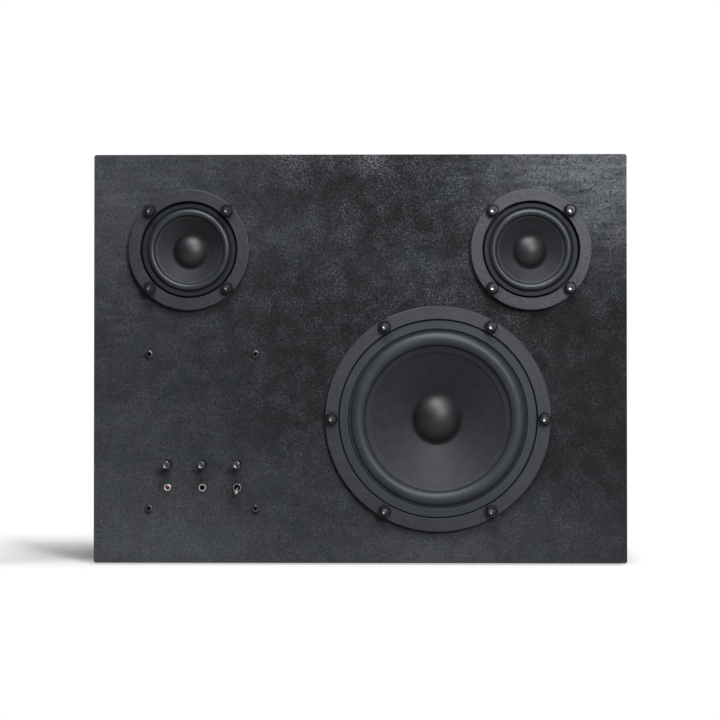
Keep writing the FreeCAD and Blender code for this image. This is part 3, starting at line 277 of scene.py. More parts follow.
tint = mix_colours(tree, stain, COOL_STEEL, WARM_STEEL)
tree.links.new(mix_colours(tree, tone, (0, 0, 0, 1), tint), shader.inputs["Base Color"])
tree.links.new(vary(tree, specks, 0.58, 0.40), shader.inputs["Roughness"])
shader.inputs["Specular IOR Level"].default_value = 0.16
raise_grain(tree, shader, specks, 0.6, 0.0004)
dress(steel, "front_panel", "cabinet_wrap", "rear_panel")
for name in ("front_panel", "cabinet_wrap"):
    soften_edges(nodes[name], STEEL_EDGE)

# Feet: four round pads of soft rubber, stuck under the cabinet floor.
# Only their edge shows, as a thin dark gap above the ground. The leads inside the cabinet
# are covered with the same black rubber.
DARK_RUBBER = (0.013, 0.013, 0.014, 1)
PALE_RUBBER = (0.02, 0.02, 0.021, 1)


def shade_colour(tree, colour, shade):
    """A colour made a little lighter or darker by a shade round 1."""
    mix = tree.nodes.new("ShaderNodeMix")
    mix.data_type = "RGBA"
    mix.blend_type = "MULTIPLY"
    mix.inputs["Factor"].default_value = 1.0
    tree.links.new(colour, mix.inputs[6])
    tree.links.new(shade, mix.inputs[7])
    return mix.outputs[2]


def coated(name, dark, light, patch, grain, depth, roughness, shine, bump, shaded_parts=None):
    """Two close tones in soft patches under a fine raised grain, with one sheen.

    shaded_parts, where a piece has any, draws the mask of its painted shade and gives it with the shade's
    tone and roughness.
    """
    material, tree, shader, place = start_finish(name)
    fine = place_group(tree, GRAIN, place, Scale=grain, Depth=depth)
    cloudy = place_group(tree, PATCHES, place, Scale=patch)
    tone = mix_colours(tree, cloudy.outputs["Mask"], dark, light)
    shader.inputs["Roughness"].default_value = roughness
    if shaded_parts:
        mask, shade_tone, shade_roughness = shaded_parts(tree, place)
        tone = mix_colours(tree, mask, tone, shade_tone)
        tree.links.new(vary(tree, mask, roughness, shade_roughness), shader.inputs["Roughness"])
    tree.links.new(shade_colour(tree, tone, fine.outputs["Shade"]), shader.inputs["Base Color"])
    shader.inputs["Specular IOR Level"].default_value = shine
    raise_grain(tree, shader, fine.outputs["Height"], *bump)
    return material


rubber = coated(
    "black_rubber", DARK_RUBBER, PALE_RUBBER,
    patch=60.0, grain=700.0, depth=0.3, roughness=0.6, shine=0.5, bump=(0.15, 0.0002),
)
dress(rubber, "feet", "wiring_harness")

# Driver frames: cast baskets, the woofer's with a satin dark grey coat, the small ones' nearly black.
# Their raised rim shows as a smooth flat ring inside each trim ring, and the step behind it is dark: all of
# the woofer's frame behind the rim is painted nearly black as shade.
DRIVERS = ("woofer", "left_driver", "right_driver")
RIM_HEIGHT = 0.0020
FRAME_EDGE = 0.0002
FRAME_ROUGHNESS = 0.48


def shade_behind_rim(tree, place):
    """Painted shade: all of the woofer's frame that lies behind its raised rim, made nearly black."""
    spot = tree.nodes.new("ShaderNodeSeparateXYZ")
    tree.links.new(place, spot.inputs["Vector"])
    mask = combine(tree, "GREATER_THAN", spot.outputs["Y"], front - RIM_HEIGHT)
    return mask, (0.006, 0.006, 0.007, 1), FRAME_ROUGHNESS


casting = coated(
    "satin_casting", (0.029, 0.0325, 0.038, 1), (0.036, 0.040, 0.046, 1),
    patch=25.0, grain=1600.0, depth=0.35, roughness=FRAME_ROUGHNESS, shine=0.35, bump=(0.12, 0.0001),
    shaded_parts=shade_behind_rim,
)
black_casting = coated(
    "black_frame", (0.013, 0.0145, 0.0165, 1), (0.018, 0.020, 0.023, 1),
    patch=40.0, grain=1600.0, depth=0.35, roughness=0.5, shine=0.22, bump=(0.12, 0.0001),
)
dress(casting, "woofer_basket")
dress(black_casting, "left_driver_basket", "right_driver_basket")
for driver in DRIVERS:
    soften_edges(nodes[f"{driver}_basket"], FRAME_EDGE)

# Driver motors: zinc-plated plates and yokes round sintered ferrite ring magnets.
# They sit behind the basket and are glued to it and to each other.
zinc, tree, shader, place = start_finish("zinc_plate")
patch = place_group(tree, PATCHES, place, Scale=90.0)
grain = place_group(tree, GRAIN, place, Scale=1500.0, Depth=0.2)
tone = mix_colours(tree, patch.outputs["Mask"], (0.38, 0.39, 0.41, 1), (0.50, 0.50, 0.51, 1))
tree.links.new(shade_colour(tree, tone, grain.outputs["Shade"]), shader.inputs["Base Color"])
tree.links.new(vary(tree, patch.outputs["Mask"], 0.3, 0.45), shader.inputs["Roughness"])
shader.inputs["Metallic"].default_value = 1.0


def two_tone(name, group, scale, dark, light, roughness, metallic=0.0, bump=None):
    """Two tones mixed by one pattern; the roughness is one value, or a pair that the pattern mixes too."""
    material, tree, shader, place = start_finish(name)
    pattern = place_group(tree, group, place, Scale=scale).outputs[0]
    tree.links.new(mix_colours(tree, pattern, dark, light), shader.inputs["Base Color"])
    if isinstance(roughness, tuple):
        tree.links.new(vary(tree, pattern, *roughness), shader.inputs["Roughness"])
    else:
        shader.inputs["Roughness"].default_value = roughness
    shader.inputs["Metallic"].default_value = metallic
    if bump:
        raise_grain(tree, shader, pattern, *bump)
    return material


ferrite = two_tone(
    "ferrite", GRAIN, 500.0, (0.03, 0.03, 0.03, 1), (0.06, 0.06, 0.062, 1),
    roughness=0.65, bump=(0.3, 0.0004),
)
for driver in DRIVERS:
    dress(zinc, f"{driver}_top_plate", f"{driver}_yoke")
    dress(ferrite, f"{driver}_magnet")

# Spiders and voice coils: resin-dipped cloth discs and enamelled copper windings.
# The spider centres the coil in the magnet gap and lets it slide in and out.
cloth, tree, shader, place = start_finish("spider_cloth")
weave = add(tree, "TexWave", Scale=900.0, Distortion=0.5)
tree.links.new(place, weave.inputs["Vector"])
tone = mix_colours(tree, weave.outputs["Fac"], (0.30, 0.20, 0.06, 1), (0.46, 0.33, 0.12, 1))
tree.links.new(tone, shader.inputs["Base Color"])
shader.inputs["Roughness"].default_value = 0.8
raise_grain(tree, shader, weave.outputs["Fac"], 0.4, 0.0002)
copper, tree, shader, place = start_finish("copper_winding")
turns = add(tree, "TexWave", Scale=1100.0, Distortion=0.0)
turns.bands_direction = "Y"
tree.links.new(place, turns.inputs["Vector"])
tone = mix_colours(tree, turns.outputs["Fac"], (0.30, 0.10, 0.04, 1), (0.62, 0.27, 0.12, 1))
tree.links.new(tone, shader.inputs["Base Color"])
shader.inputs["Metallic"].default_value = 0.9
shader.inputs["Roughness"].default_value = 0.35
for driver in DRIVERS:
    dress(cloth, f"{driver}_spider")
    dress(copper, f"{driver}_voice_coil")

# Cones and dust caps: dyed pulp diaphragms, each with a smooth domed cap glued over the coil.
# The pulp is matt and faintly fibrous, the cap has a soft satin sheen.
CAP_DOMES = {"woofer": 0.0178, "left_driver": 0.0122, "right_driver": 0.0122}


def middle(node):
    """Where the middle of a node stands across and up the front, in metres."""
    low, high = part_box(node)
    return (low[0] + high[0]) / 2, (low[2] + high[2]) / 2


def off_axis(tree, place, centre):
    """How far a point of the piece lies from a line that runs straight back through the front."""
    flat = tree.nodes.new("ShaderNodeVectorMath")
    flat.operation = "MULTIPLY"
    flat.inputs[1].default_value = (1, 0, 1)
    tree.links.new(place, flat.inputs[0])
    away = tree.nodes.new("ShaderNodeVectorMath")
    away.operation = "DISTANCE"
    tree.links.new(flat.outputs["Vector"], away.inputs[0])
    away.inputs[1].default_value = (centre[0], 0, centre[1])
    return away.outputs["Value"]


def cap_finish(name, centre, dome):
    """Satin on the dome; the flat edge round it is painted shade, black and rough."""

    def shaded_edge(tree, place):
        mask = combine(tree, "GREATER_THAN", off_axis(tree, place, centre), dome)
        return mask, (0.002, 0.002, 0.002, 1), 0.95

    return coated(
        name, (0.004, 0.0044, 0.006, 1), (0.006, 0.0066, 0.009, 1),
        patch=80.0, grain=1500.0, depth=0.25, roughness=0.48, shine=0.72, bump=(0.1, 0.0001),
        shaded_parts=shaded_edge,
    )


pulp = coated(
    "dyed_pulp", (0.024, 0.0247, 0.028, 1), (0.030, 0.0308, 0.035, 1),
    patch=120.0, grain=1300.0, depth=0.5, roughness=0.58, shine=0.32, bump=(0.2, 0.0002),
)
for driver, dome in CAP_DOMES.items():
    dress(pulp, f"{driver}_cone")
    cap = f"{driver}_dust_cap"
    dress(cap_finish(f"{driver}_cap_satin", middle(cap), dome), cap)
    closed = nodes[cap].modifiers.new("closed", "WELD")
    closed.merge_threshold = JOINED_POINTS

# Surrounds: moulded half-roll edges of satin black rubber between the frame and the cone.
# Each is one skin, glued flat on the frame's ledge and on the cone's lip; in the speaker it folds as the
# cone moves, but here it is drawn as one still shape.
SURROUND_STEPS = 144
ARC_STEPS = 28
CORNER_STEPS = 4
# the sharp folds beside each roll, darkened with painted shade, the outer first: radius and half width
WOOFER_FOLDS = ((0.0638, 0.0007), (0.0533, 0.0009))
SMALL_FOLDS = ((0.0301, 0.0004), (0.0249, 0.0006))


def turn_profile(name, profile, centre):
    """A round piece: a line of points, each a radius and a depth, drawn by extrusion and spun."""
    across, up = centre
    bpy.ops.object.select_all(action="DESELECT")
    bpy.ops.mesh.primitive_plane_add(size=0.001)
    piece = bpy.context.object
    piece.name = name
    bpy.ops.object.mode_set(mode="EDIT")
    bpy.ops.mesh.select_mode(type="VERT")
    bpy.ops.mesh.select_all(action="SELECT")
    bpy.ops.mesh.merge(type="CENTER")
    bpy.ops.transform.translate(value=(across + profile[0][0], profile[0][1], up))
    for (radius, depth), (next_radius, next_depth) in zip(profile, profile[1:]):
        step = (next_radius - radius, next_depth - depth, 0)
        bpy.ops.mesh.extrude_region_move(TRANSFORM_OT_translate={"value": step})
    bpy.ops.mesh.select_all(action="SELECT")
    bpy.ops.mesh.spin(steps=SURROUND_STEPS, angle=math.tau, center=(across, 0, up), axis=(0, 1, 0))
    bpy.ops.mesh.select_all(action="SELECT")
    bpy.ops.mesh.remove_doubles(threshold=JOINED_POINTS)
    bpy.ops.mesh.normals_make_consistent(inside=False)
    bpy.ops.object.mode_set(mode="OBJECT")
    if sum(face.normal.y * face.area for face in piece.data.polygons) > 0:
        bpy.ops.object.mode_set(mode="EDIT")
        bpy.ops.mesh.select_all(action="SELECT")
        bpy.ops.mesh.flip_normals()
        bpy.ops.object.mode_set(mode="OBJECT")
    return piece


def round_corner(before, corner, after, radius):
    """Points of a soft corner between two straight runs of a profile."""
    corner = Vector(corner)
    start = corner + (Vector(before) - corner).normalized() * radius
    end = corner + (Vector(after) - corner).normalized() * radius
    points = []
    for step in range(CORNER_STEPS + 1):
        share = step / CORNER_STEPS
        points.append(tuple(start.lerp(corner, share).lerp(corner.lerp(end, share), share)))
    return points


def roll_profile(outer, roll_outer, roll_inner, lip, ledge, apex, foot, lip_face, fillet):
    """The front face of a half-roll edge, from its glued outer rim to the sloping lip on the cone."""
    half = (roll_outer - roll_inner) / 2
    height = ledge - apex
    radius = (half * half + height * height) / (2 * height)
    axis_depth = apex + radius
    middle_radius = (roll_outer + roll_inner) / 2
    sweep = math.asin(half / radius)
    arc = []
    for step in range(ARC_STEPS + 1):
        angle = sweep * (1 - 2 * step / ARC_STEPS)
        arc.append((middle_radius + radius * math.sin(angle), axis_depth - radius * math.cos(angle)))
    # the outer corner takes the place of the arc's first two points
    outer_corner = round_corner((outer, ledge), (roll_outer, ledge + fillet), arc[3], fillet)
    inner_corner = round_corner(arc[-1], (roll_inner, foot), (lip, lip_face), fillet)
    return [(outer, ledge)] + outer_corner + arc[2:] + inner_corner + [(lip, lip_face)]


def rubber_finish(name, centre, folds, dark, light, roughness, shine):
    """Moulded rubber, with painted shade that makes it nearly black and rough in the sharp folds beside the
    roll.
    """

    def shaded_folds(tree, place):
        away = off_axis(tree, place, centre)
        mask = 0.0
        for radius, width in folds:
            beside = combine(tree, "ABSOLUTE", combine(tree, "SUBTRACT", away, radius), 0.0)
            fold = combine(tree, "SUBTRACT", 1.0, combine(tree, "DIVIDE", beside, width))
            mask = combine(tree, "MAXIMUM", mask, fold)
        return mask, (0.004, 0.004, 0.005, 1), 0.9

    return coated(
        name, dark, light,
        patch=40.0, grain=1500.0, depth=0.25, roughness=roughness, shine=shine, bump=(0.08, 0.0001),
        shaded_parts=shaded_folds,
    )


WOOFER_ROLL = roll_profile(
    outer=0.0646, roll_outer=0.0638, roll_inner=0.0534, lip=0.0490, ledge=front - 0.0018,
    apex=front - 0.0048, foot=front - 0.0007, lip_face=front + 0.0012, fillet=0.0004,
)
SMALL_ROLL = roll_profile(
    outer=0.0304, roll_outer=0.0301, roll_inner=0.0249, lip=0.0232, ledge=front - 0.0018,
    apex=front - 0.0042, foot=front - 0.0007, lip_face=front - 0.0002, fillet=0.0003,
)
SATIN_RUBBER = {
    "dark": (0.029, 0.0325, 0.038, 1), "light": (0.035, 0.039, 0.046, 1), "roughness": 0.46, "shine": 0.42
}
GLOSSY_RUBBER = {
    "dark": (0.021, 0.0235, 0.027, 1), "light": (0.027, 0.030, 0.035, 1), "roughness": 0.38, "shine": 0.5
}
for driver, profile, skin, rubber_look, folds in (
    ("woofer", WOOFER_ROLL, 0.0008, SATIN_RUBBER, WOOFER_FOLDS),
    ("left_driver", SMALL_ROLL, 0.0005, GLOSSY_RUBBER, SMALL_FOLDS),
    ("right_driver", SMALL_ROLL, 0.0005, GLOSSY_RUBBER, SMALL_FOLDS),
):
    centre = middle(f"{driver}_surround")
    roll = turn_profile(f"{driver}_roll_edge", profile, centre)
    wall = roll.modifiers.new("skin", "SOLIDIFY")
    wall.thickness = skin
    bpy.ops.object.modifier_apply(modifier="skin")
    bpy.ops.object.shade_smooth_by_angle(angle=math.radians(50))
    roll.data.materials.append(rubber_finish(f"{driver}_rubber", centre, folds, **rubber_look))
    # the lip is dyed together with the cone it is glued to
    roll.data.materials.append(pulp)
    inner_fold, fold_width = folds[1]
    for face in roll.data.polygons:
        if math.hypot(face.center.x - centre[0], face.center.z - centre[1]) < inner_fold - fold_width:
            face.material_index = 1
    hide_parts(f"{driver}_surround")
    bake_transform(roll)

# Gaskets and rear seal: black closed-cell foam, cut to shape and pressed between the metal parts.
# Almost nothing of them shows once the screws are tight.
foam, tree, shader, place = start_finish("closed_cell_foam")
cells = add(tree, "TexVoronoi", Scale=900.0)
tree.links.new(place, cells.inputs["Vector"])
tone = mix_colours(tree, cells.outputs["Distance"], (0.008, 0.008, 0.008, 1), (0.022, 0.022, 0.023, 1))
tree.links.new(tone, shader.inputs["Base Color"])
shader.inputs["Roughness"].default_value = 0.85
dress(foam, "rear_seal", *[f"{driver}_gasket" for driver in DRIVERS])

# Trim rings: turned metal rings with a fine-grained dark powder coat.
# They lie on the front plate and hide the cut edge round each driver.
coat = coated(
    "powder_coat", (0.024, 0.0255, 0.031, 1), (0.032, 0.0335, 0.040, 1),
    patch=90.0, grain=720.0, depth=2.2, roughness=0.4, shine=0.46, bump=(0.5, 0.0005),
)
dress(coat, *[f"{driver}_trim_ring" for driver in DRIVERS])

# Screws: socket-head screws of black-oxide steel through the rings, the plate and the back.
# Each ring screw is forged with a round head, ribbed on its side and punched with a hexagon that the
# key has worn bright; the plate and the back have low button heads, those on the plate rubbed paler.
RING_SCREW = dict(head=0.0035, height=0.0040, shank=0.0020, reach=0.0135, socket=0.0030, edge=0.0006)
PLATE_SCREW = dict(head=0.0029, height=0.0020, shank=0.0015, reach=0.0120, socket=0.0022, edge=0.0010)
BACK_SCREW = dict(head=0.0038, height=0.0022, shank=0.0020, reach=0.0090, socket=0.0030, edge=0.0010)
HEAD_SIDES = 48
ON_FACE, ON_AXIS = 1e-5, 1e-4
RIB_LAND, RIB_DEPTH = 0.00004, 0.00014
SOCKET_RIM = 0.0002
SOCKET_DEPTH, SOCKET_CONE = 0.25, 0.25
SHANK_TAPER = 0.0006
WOOFER_BOLT_CIRCLE = 0.07755
SMALL_BOLT_CIRCLE = 0.039875
PLATE_PITCH = (0.078, 0.113)
BACK_PITCH = 0.090
FIRST_TURN, NEXT_TURN = 11, 23


def pick(piece, kind, wanted):
    """Selects faces by their middle and direction, or edges by their middle and number of faces."""
    bpy.ops.mesh.select_mode(type=kind)
    bpy.ops.mesh.select_all(action="DESELECT")
    mesh = bmesh.from_edit_mesh(piece.data)
    mesh.normal_update()
    if kind == "FACE":
        for face in mesh.faces:
            face.select_set(wanted(face.calc_center_median(), face.normal))
    else:
        for edge in mesh.edges:
            first, second = (point.co for point in edge.verts)
            edge.select_set(wanted((first + second) / 2, len(edge.link_faces)))
    bmesh.update_edit_mesh(piece.data)


def from_axis(spot):
    """How far a point lies from the screw's own axis."""
    return math.hypot(spot.x, spot.z)


def socket_screw(head, height, shank, reach, socket, edge, ribbed=False):
    """One screw on the y axis: the head stands in front of y = 0, the shank behind it."""
    corner = socket / 2 / math.cos(math.radians(30))
    turn = math.tau / HEAD_SIDES
    bpy.ops.object.select_all(action="DESELECT")
    bpy.ops.mesh.primitive_cylinder_add(
        vertices=HEAD_SIDES,
        radius=head,
        depth=height,
        location=(0, -height / 2, 0),
        rotation=(math.pi / 2, 0, 0),
    )
    screw = bpy.context.object
    bpy.ops.object.transform_apply(location=True, rotation=True)
    bpy.ops.object.mode_set(mode="EDIT")
    # ribs: every second side face is pressed in a little
    if ribbed:

        def every_second_side(spot, facing):
            return abs(facing.y) < 0.5 and round(math.atan2(spot.z, spot.x) / turn - 0.5) % 2 == 0

        pick(screw, "FACE", every_second_side)
        bpy.ops.mesh.inset(thickness=RIB_LAND, depth=-RIB_DEPTH, use_individual=True)
    # the front edge is rolled over
    pick(screw, "EDGE", lambda spot, faces: spot.y < -height + ON_FACE and from_axis(spot) > head * 0.98)
    bpy.ops.mesh.bevel(offset=edge, segments=4, affect="EDGES")
    # the hexagon: the middle of the face is cut out, bridged to six corners and punched in
    pick(screw, "FACE", lambda spot, facing: facing.y < -0.9 and from_axis(spot) < ON_AXIS)
    bpy.ops.mesh.inset(thickness=head - edge - corner - SOCKET_RIM, depth=0.0)
    bpy.ops.mesh.delete(type="FACE")
    bpy.ops.mesh.primitive_circle_add(
        vertices=6, radius=corner, location=(0, -height, 0), rotation=(math.pi / 2, 0, 0)
    )
    pick(screw, "EDGE", lambda spot, faces: faces < 2 and from_axis(spot) < corner + 1.5 * SOCKET_RIM)
    bpy.ops.mesh.bridge_edge_loops()
    pick(screw, "EDGE", lambda spot, faces: faces < 2)
    bpy.ops.mesh.extrude_region_move(TRANSFORM_OT_translate={"value": (0, height * SOCKET_DEPTH, 0)})
    # its floor is a flat cone, as a punch leaves it
    bpy.ops.mesh.extrude_region_move(TRANSFORM_OT_translate={"value": (0, corner * SOCKET_CONE, 0)})
    bpy.ops.mesh.merge(type="CENTER")
    # the shank, with a tapered end
    pick(screw, "FACE", lambda spot, facing: facing.y > 0.9 and spot.length < ON_AXIS)
    bpy.ops.mesh.inset(thickness=head - shank, depth=0.0)
    bpy.ops.mesh.extrude_region_move(TRANSFORM_OT_translate={"value": (0, reach - SHANK_TAPER, 0)})
    bpy.ops.mesh.extrude_region_move(TRANSFORM_OT_translate={"value": (0, SHANK_TAPER, 0)})
    bpy.ops.transform.resize(value=(0.75, 1, 0.75))
    bpy.ops.mesh.select_all(action="SELECT")
    bpy.ops.mesh.normals_make_consistent(inside=False)
    bpy.ops.object.mode_set(mode="OBJECT")
    bpy.ops.object.shade_smooth_by_angle(angle=math.radians(32))
    screw.data.materials.append(oxide)
    screw.data.materials.append(worn_steel)
    for face in screw.data.polygons:
        if from_axis(face.center) < 0.8 * corner and -height * 0.8 < face.center.y < 0:
            face.material_index = 1
    return screw


def set_screws(name, pattern, node, places, seat, from_behind=False):
    """Copies of one screw, each left at its own angle, joined into the group that the node names."""
    bpy.ops.object.select_all(action="DESELECT")
    copies = []
    for index, (across, up) in enumerate(places):
        copy = pattern.copy()
        copy.data = pattern.data.copy()
        bpy.context.scene.collection.objects.link(copy)
        turn = math.radians(FIRST_TURN + NEXT_TURN * index)
        copy.rotation_euler = (0, turn, math.pi if from_behind else 0)
        copy.location = (across, seat, up)
        copy.select_set(True)
        copies.append(copy)
    bpy.context.view_layer.objects.active = copies[0]
    bpy.ops.object.join()
    group = bpy.context.object
    group.name = name
    bpy.ops.object.transform_apply(location=True, rotation=True, scale=True)
    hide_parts(node)
    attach(group, "cabinet")


def ring_places(centre, radius, count, first):
    """Evenly spaced places round a centre, from a first angle in degrees."""
    turns = [math.radians(first + 360 / count * index) for index in range(count)]
    return [(centre[0] + radius * math.cos(turn), centre[1] + radius * math.sin(turn)) for turn in turns]


oxide, tree, shader, place = start_finish("black_oxide")
grain = place_group(tree, GRAIN, place, Scale=1400.0)
patch = place_group(tree, PATCHES, place, Scale=300.0)
tone = mix_colours(tree, grain.outputs["Height"], (0.010, 0.010, 0.011, 1), (0.036, 0.036, 0.040, 1))
tree.links.new(tone, shader.inputs["Base Color"])
tree.links.new(vary(tree, patch.outputs["Mask"], 0.30, 0.42), shader.inputs["Roughness"])
shader.inputs["Metallic"].default_value = 0.5
worn_steel = two_tone(
    "worn_socket", PATCHES, 900.0, (0.15, 0.15, 0.16, 1), (0.36, 0.36, 0.37, 1),
    roughness=(0.30, 0.22), metallic=1.0,
)
rubbed_oxide = two_tone(
    "rubbed_oxide", PATCHES, 700.0, (0.026, 0.027, 0.029, 1), (0.17, 0.17, 0.18, 1),
    roughness=(0.32, 0.22), metallic=0.8,
)

ring_screw = socket_screw(**RING_SCREW, ribbed=True)
for driver, circle, count, first in (
    ("woofer", WOOFER_BOLT_CIRCLE, 6, 0),
    ("left_driver", SMALL_BOLT_CIRCLE, 4, 45),
    ("right_driver", SMALL_BOLT_CIRCLE, 4, 45),
):
    ring = f"{driver}_trim_ring"
    ring_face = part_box(ring)[0][1]
    places = ring_places(middle(ring), circle, count, first)
    set_screws(f"{driver}_ring_screws", ring_screw, f"{driver}_screws", places, ring_face)

plate_across, plate_up = middle("amp_screws")
plate_places = [
    (plate_across + side * PLATE_PITCH[0] / 2, plate_up + level * PLATE_PITCH[1] / 2)
    for side in (-1, 1)
    for level in (-1, 1)
]
plate_screw = socket_screw(**PLATE_SCREW)
plate_screw.data.materials[0] = rubbed_oxide
set_screws("amp_plate_screws", plate_screw, "amp_screws", plate_places, front)

back_low, back_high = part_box("rear_panel_screws")
back_left, back_right = back_low[0] + BACK_SCREW["head"], back_high[0] - BACK_SCREW["head"]
back_bottom, back_top = back_low[2] + BACK_SCREW["head"], back_high[2] - BACK_SCREW["head"]
back_middle = (back_bottom + back_top) / 2
back_levels = (back_bottom, back_middle - BACK_PITCH / 2, back_middle + BACK_PITCH / 2, back_top)
back_places = [(0, back_bottom), (0, back_top)]
back_places += [(column, level) for column in (back_left, back_right) for level in back_levels]
back_screw = socket_screw(**BACK_SCREW)
back_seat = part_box("rear_panel")[1][1]
set_screws("back_plate_screws", back_screw, "rear_panel_screws", back_places, back_seat, from_behind=True)
for pattern in (ring_screw, plate_screw, back_screw):
    bpy.data.objects.remove(pattern)

# Amplifier module: plated carrier, potentiometers, green board and an aluminium heat sink.
# It hangs on the four plate screws behind the front and carries every control. The power
# supply, screwed to the cabinet floor, is built on a board of the same kind.
board = two_tone("solder_mask", PATCHES, 200.0, (0.01, 0.06, 0.02, 1), (0.02, 0.11, 0.04, 1), roughness=0.4)
bare_metal = two_tone(
    "extruded_aluminium", GRAIN, 600.0, (0.5, 0.5, 0.51, 1), (0.66, 0.66, 0.67, 1),
    roughness=0.4, metallic=1.0,
)
dress(zinc, "amp_plate", "control_pots")
dress(board, "amp_board", "power_supply")
dress(bare_metal, "amp_heat_sink")

# Control rods: three bright turned steel spindles with a rounded, slightly dished end.
# Shaft and knob are one piece, which stands bare in front of the plate and is turned by hand.
RODS = ("volume_knob", "bass_knob", "treble_knob")
ROD_EDGE = 0.00025
rod_steel = two_tone(
    "turned_rod", GRAIN, 1200.0, (0.10, 0.10, 0.105, 1), (0.22, 0.22, 0.225, 1),
    roughness=0.22, metallic=0.85,
)
dress(rod_steel, *RODS)
for name in RODS:
    soften_edges(nodes[name], ROD_EDGE)

# Indicator light, audio socket and toggle switch: nickel-plated bushings through the plate.
# The light has a tinted lens; inside the socket and the switch the bushings, and the lever's foot in the
# switch, are painted dark as shade.
JACK_BORE = 0.00186
SWITCH_BORE = 0.00250
BUSHING_EDGE = 0.00035
LEVER_OUT = 0.003


def bushing_metal(name, centre, bore):
    """Nickel plate outside, and inside the bore of one bushing a painted shade, black, rough and not
    metallic.
    """
    material, tree, shader, place = start_finish(name)
    grain = place_group(tree, GRAIN, place, Scale=1500.0)
    bright = mix_colours(tree, grain.outputs["Height"], (0.50, 0.485, 0.46, 1), (0.75, 0.73, 0.70, 1))
    outside = combine(tree, "GREATER_THAN", off_axis(tree, place, centre), bore)
    tone = mix_colours(tree, outside, (0.006, 0.006, 0.006, 1), bright)
    tree.links.new(tone, shader.inputs["Base Color"])
    tree.links.new(vary(tree, outside, 0.0, 0.45), shader.inputs["Metallic"])
    tree.links.new(vary(tree, outside, 0.6, 0.25), shader.inputs["Roughness"])
    return material


dress(bushing_metal("socket_nickel", middle("aux_jack"), JACK_BORE), "aux_jack")
dress(bushing_metal("switch_nickel", middle("switch_body"), SWITCH_BORE), "switch_body")
nickel = two_tone(
    "nickel_plate", GRAIN, 1500.0, (0.55, 0.53, 0.50, 1), (0.80, 0.78, 0.75, 1),
    roughness=0.25, metallic=0.45,
)
lens = two_tone(
    "tinted_lens", PATCHES, 900.0, (0.10, 0.025, 0.018, 1), (0.18, 0.05, 0.035, 1), roughness=0.15
)
dress(nickel, "led_bezel")
dress(lens, "led_lens")
lever_steel, tree, shader, place = start_finish("lever_chrome")
grain = place_group(tree, GRAIN, place, Scale=1500.0)
bright = mix_colours(tree, grain.outputs["Height"], (0.45, 0.44, 0.42, 1), (0.65, 0.64, 0.62, 1))
# painted shade: the part of the lever inside the bushing is made dark and rough
reach = tree.nodes.new("ShaderNodeSeparateXYZ")
tree.links.new(place, reach.inputs["Vector"])
inside = combine(tree, "GREATER_THAN", reach.outputs["Y"], front - LEVER_OUT)
tree.links.new(mix_colours(tree, inside, bright, (0.03, 0.03, 0.03, 1)), shader.inputs["Base Color"])
tree.links.new(vary(tree, inside, 0.15, 0.45), shader.inputs["Roughness"])
shader.inputs["Metallic"].default_value = 0.6
dress(lever_steel, "switch_lever")
for name in ("led_bezel", "aux_jack", "switch_body"):
    soften_edges(nodes[name], BUSHING_EDGE)

# Damping felt: grey wool felt sheet on the inside of the back plate.
# It is glued down and keeps the steel from ringing.
felt = two_tone("wool_felt", GRAIN, 400.0, (0.08, 0.08, 0.08, 1), (0.16, 0.16, 0.16, 1), roughness=0.95)
dress(felt, "damping_felt")

# Mains inlet: moulded black plastic inlet with three nickel-plated contacts.
# It is pushed into the back plate, and its flange is textured, as such mouldings are.
INLET_EDGE = 0.0003
plastic = two_tone(
    "moulded_plastic", GRAIN, 1000.0, (0.012, 0.012, 0.012, 1), (0.02, 0.02, 0.02, 1),
    roughness=0.45, bump=(0.2, 0.0002),
)
dress(plastic, "mains_inlet")
dress(nickel, "inlet_pins")
soften_edges(nodes["mains_inlet"], INLET_EDGE)

# Studio: white ground that throws little light back, a large soft box above the front,
# a smaller one above and to the right of the camera, one on the right, a narrow one for
# the back of the cabinet, and a long lens square to the front.
GLOW_NEAR = 0.06
MIRRORED_SHARE = 0.3
SKY_FILL = 0.09
LAMP_COLOUR = (0.95, 0.975, 1.0)
CAMERA_PLACE = (0.0195, front - 1.3, 0.1355)
CAMERA_AIM = (0.0001, front, 0.1499)
CAMERA_LENS = 88.85
bpy.ops.object.select_all(action="DESELECT")
bpy.ops.mesh.primitive_plane_add(size=12, location=(0, 2.0, 0))
ground = bpy.context.object
ground.name = "ground"
white, tree, shader, place = start_finish("white_ground")
output = tree.nodes["Material Output"]
path = tree.nodes.new("ShaderNodeLightPath")
shown = combine(tree, "MAXIMUM", path.outputs["Is Camera Ray"], path.outputs["Is Transmission Ray"])
mirrored = combine(tree, "MULTIPLY", path.outputs["Is Glossy Ray"], MIRRORED_SHARE)
mirrored = combine(tree, "MAXIMUM", shown, mirrored)
pale = mix_colours(tree, mirrored, (0.20, 0.20, 0.20, 1), (0.9, 0.9, 0.9, 1))
tree.links.new(pale, shader.inputs["Base Color"])
shader.inputs["Roughness"].default_value = 0.9
shader.inputs["Specular IOR Level"].default_value = 0.0
glow = add(tree, "Emission", Color=(1, 1, 1, 1), Strength=1.0)
reach = tree.nodes.new("ShaderNodeSeparateXYZ")
tree.links.new(place, reach.inputs["Vector"])
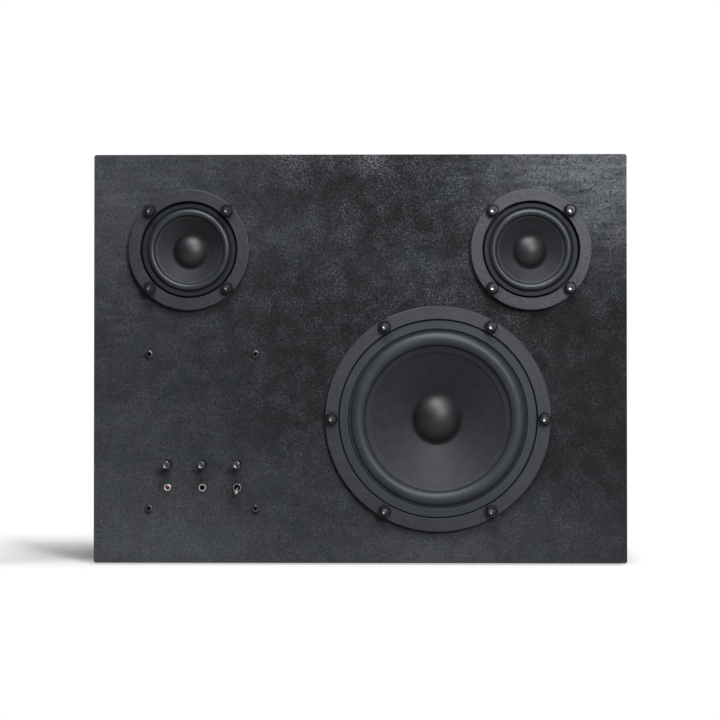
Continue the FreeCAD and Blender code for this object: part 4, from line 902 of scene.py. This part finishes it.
# away from the cabinet the ground fades to plain white: to the rear, the front, the left and the right
far = 0.0
for axis, start, end in (("Y", -0.03, 0.20), ("Y", -0.03, -0.125), ("X", -0.22, -0.34), ("X", 0.19, 0.22)):
    fade = tree.nodes.new("ShaderNodeMapRange")
    fade.interpolation_type = "SMOOTHSTEP"
    fade.inputs["From Min"].default_value = start
    fade.inputs["From Max"].default_value = end
    tree.links.new(reach.outputs[axis], fade.inputs["Value"])
    far = combine(tree, "MAXIMUM", far, fade.outputs["Result"])
seen = combine(tree, "MULTIPLY", vary(tree, far, GLOW_NEAR, 1.0), shown)
blend = tree.nodes.new("ShaderNodeMixShader")
tree.links.new(seen, blend.inputs["Fac"])
tree.links.new(shader.outputs["BSDF"], blend.inputs[1])
tree.links.new(glow.outputs["Emission"], blend.inputs[2])
tree.links.new(blend.outputs["Shader"], output.inputs["Surface"])
ground.data.materials.append(white)
bpy.ops.object.transform_apply(location=True)


def aim_at(place, target):
    """The turn that points a lamp or the camera from one place at another."""
    return (Vector(target) - Vector(place)).to_track_quat("-Z", "Y").to_euler()


def soft_light(name, place, aim, width, height, watts, spread=180):
    """A flat lamp of even light, spread in degrees."""
    lamp = bpy.data.lights.new(name, "AREA")
    lamp.shape = "RECTANGLE"
    lamp.size = width
    lamp.size_y = height
    lamp.energy = watts
    lamp.color = LAMP_COLOUR
    lamp.spread = math.radians(spread)
    holder = bpy.data.objects.new(name, lamp)
    holder.location = place
    holder.rotation_euler = aim_at(place, aim)
    bpy.context.scene.collection.objects.link(holder)


soft_light("top_box", (0.04, -0.68, 1.0), (0.03, -0.09, 0.14), 0.6, 0.4, 9.5)
soft_light("front_box", (0.40, -1.15, 0.58), (0, -0.09, 0.15), 0.3, 0.3, 7.5)
soft_light("side_box", (1.5, 0.2, 1.0), (0, 0, 0.1), 0.6, 0.6, 14)
soft_light("back_box", (0.0, 1.5, 0.25), (0, 0.1, 0.16), 0.30, 0.22, 0.5, spread=10)

world = bpy.data.worlds.new("studio")
bpy.context.scene.world = world
world.use_nodes = True
sky = world.node_tree
background = sky.nodes["Background"]
background.inputs["Color"].default_value = (1, 1, 1, 1)
rays = sky.nodes.new("ShaderNodeLightPath")
gaze = sky.nodes.new("ShaderNodeTexCoord")
ahead = sky.nodes.new("ShaderNodeSeparateXYZ")
sky.links.new(gaze.outputs["Generated"], ahead.inputs["Vector"])
behind_object = sky.nodes.new("ShaderNodeMapRange")
behind_object.interpolation_type = "SMOOTHSTEP"
behind_object.inputs["From Min"].default_value = -0.2
behind_object.inputs["From Max"].default_value = 0.4
sky.links.new(ahead.outputs["Y"], behind_object.inputs["Value"])
mirrored = combine(sky, "MAXIMUM", rays.outputs["Is Glossy Ray"], rays.outputs["Is Transmission Ray"])
mirrored = combine(sky, "MULTIPLY", mirrored, behind_object.outputs["Result"])
shown = combine(sky, "MAXIMUM", rays.outputs["Is Camera Ray"], mirrored)
sky.links.new(vary(sky, shown, SKY_FILL, 1.0), background.inputs["Strength"])

lens_data = bpy.data.cameras.new("camera")
lens_data.lens = CAMERA_LENS
lens_data.sensor_width = 36
camera = bpy.data.objects.new("camera", lens_data)
camera.location = CAMERA_PLACE
camera.rotation_euler = aim_at(CAMERA_PLACE, CAMERA_AIM)
bpy.context.scene.collection.objects.link(camera)
bpy.context.scene.camera = camera
bpy.context.scene.view_settings.view_transform = "Standard"
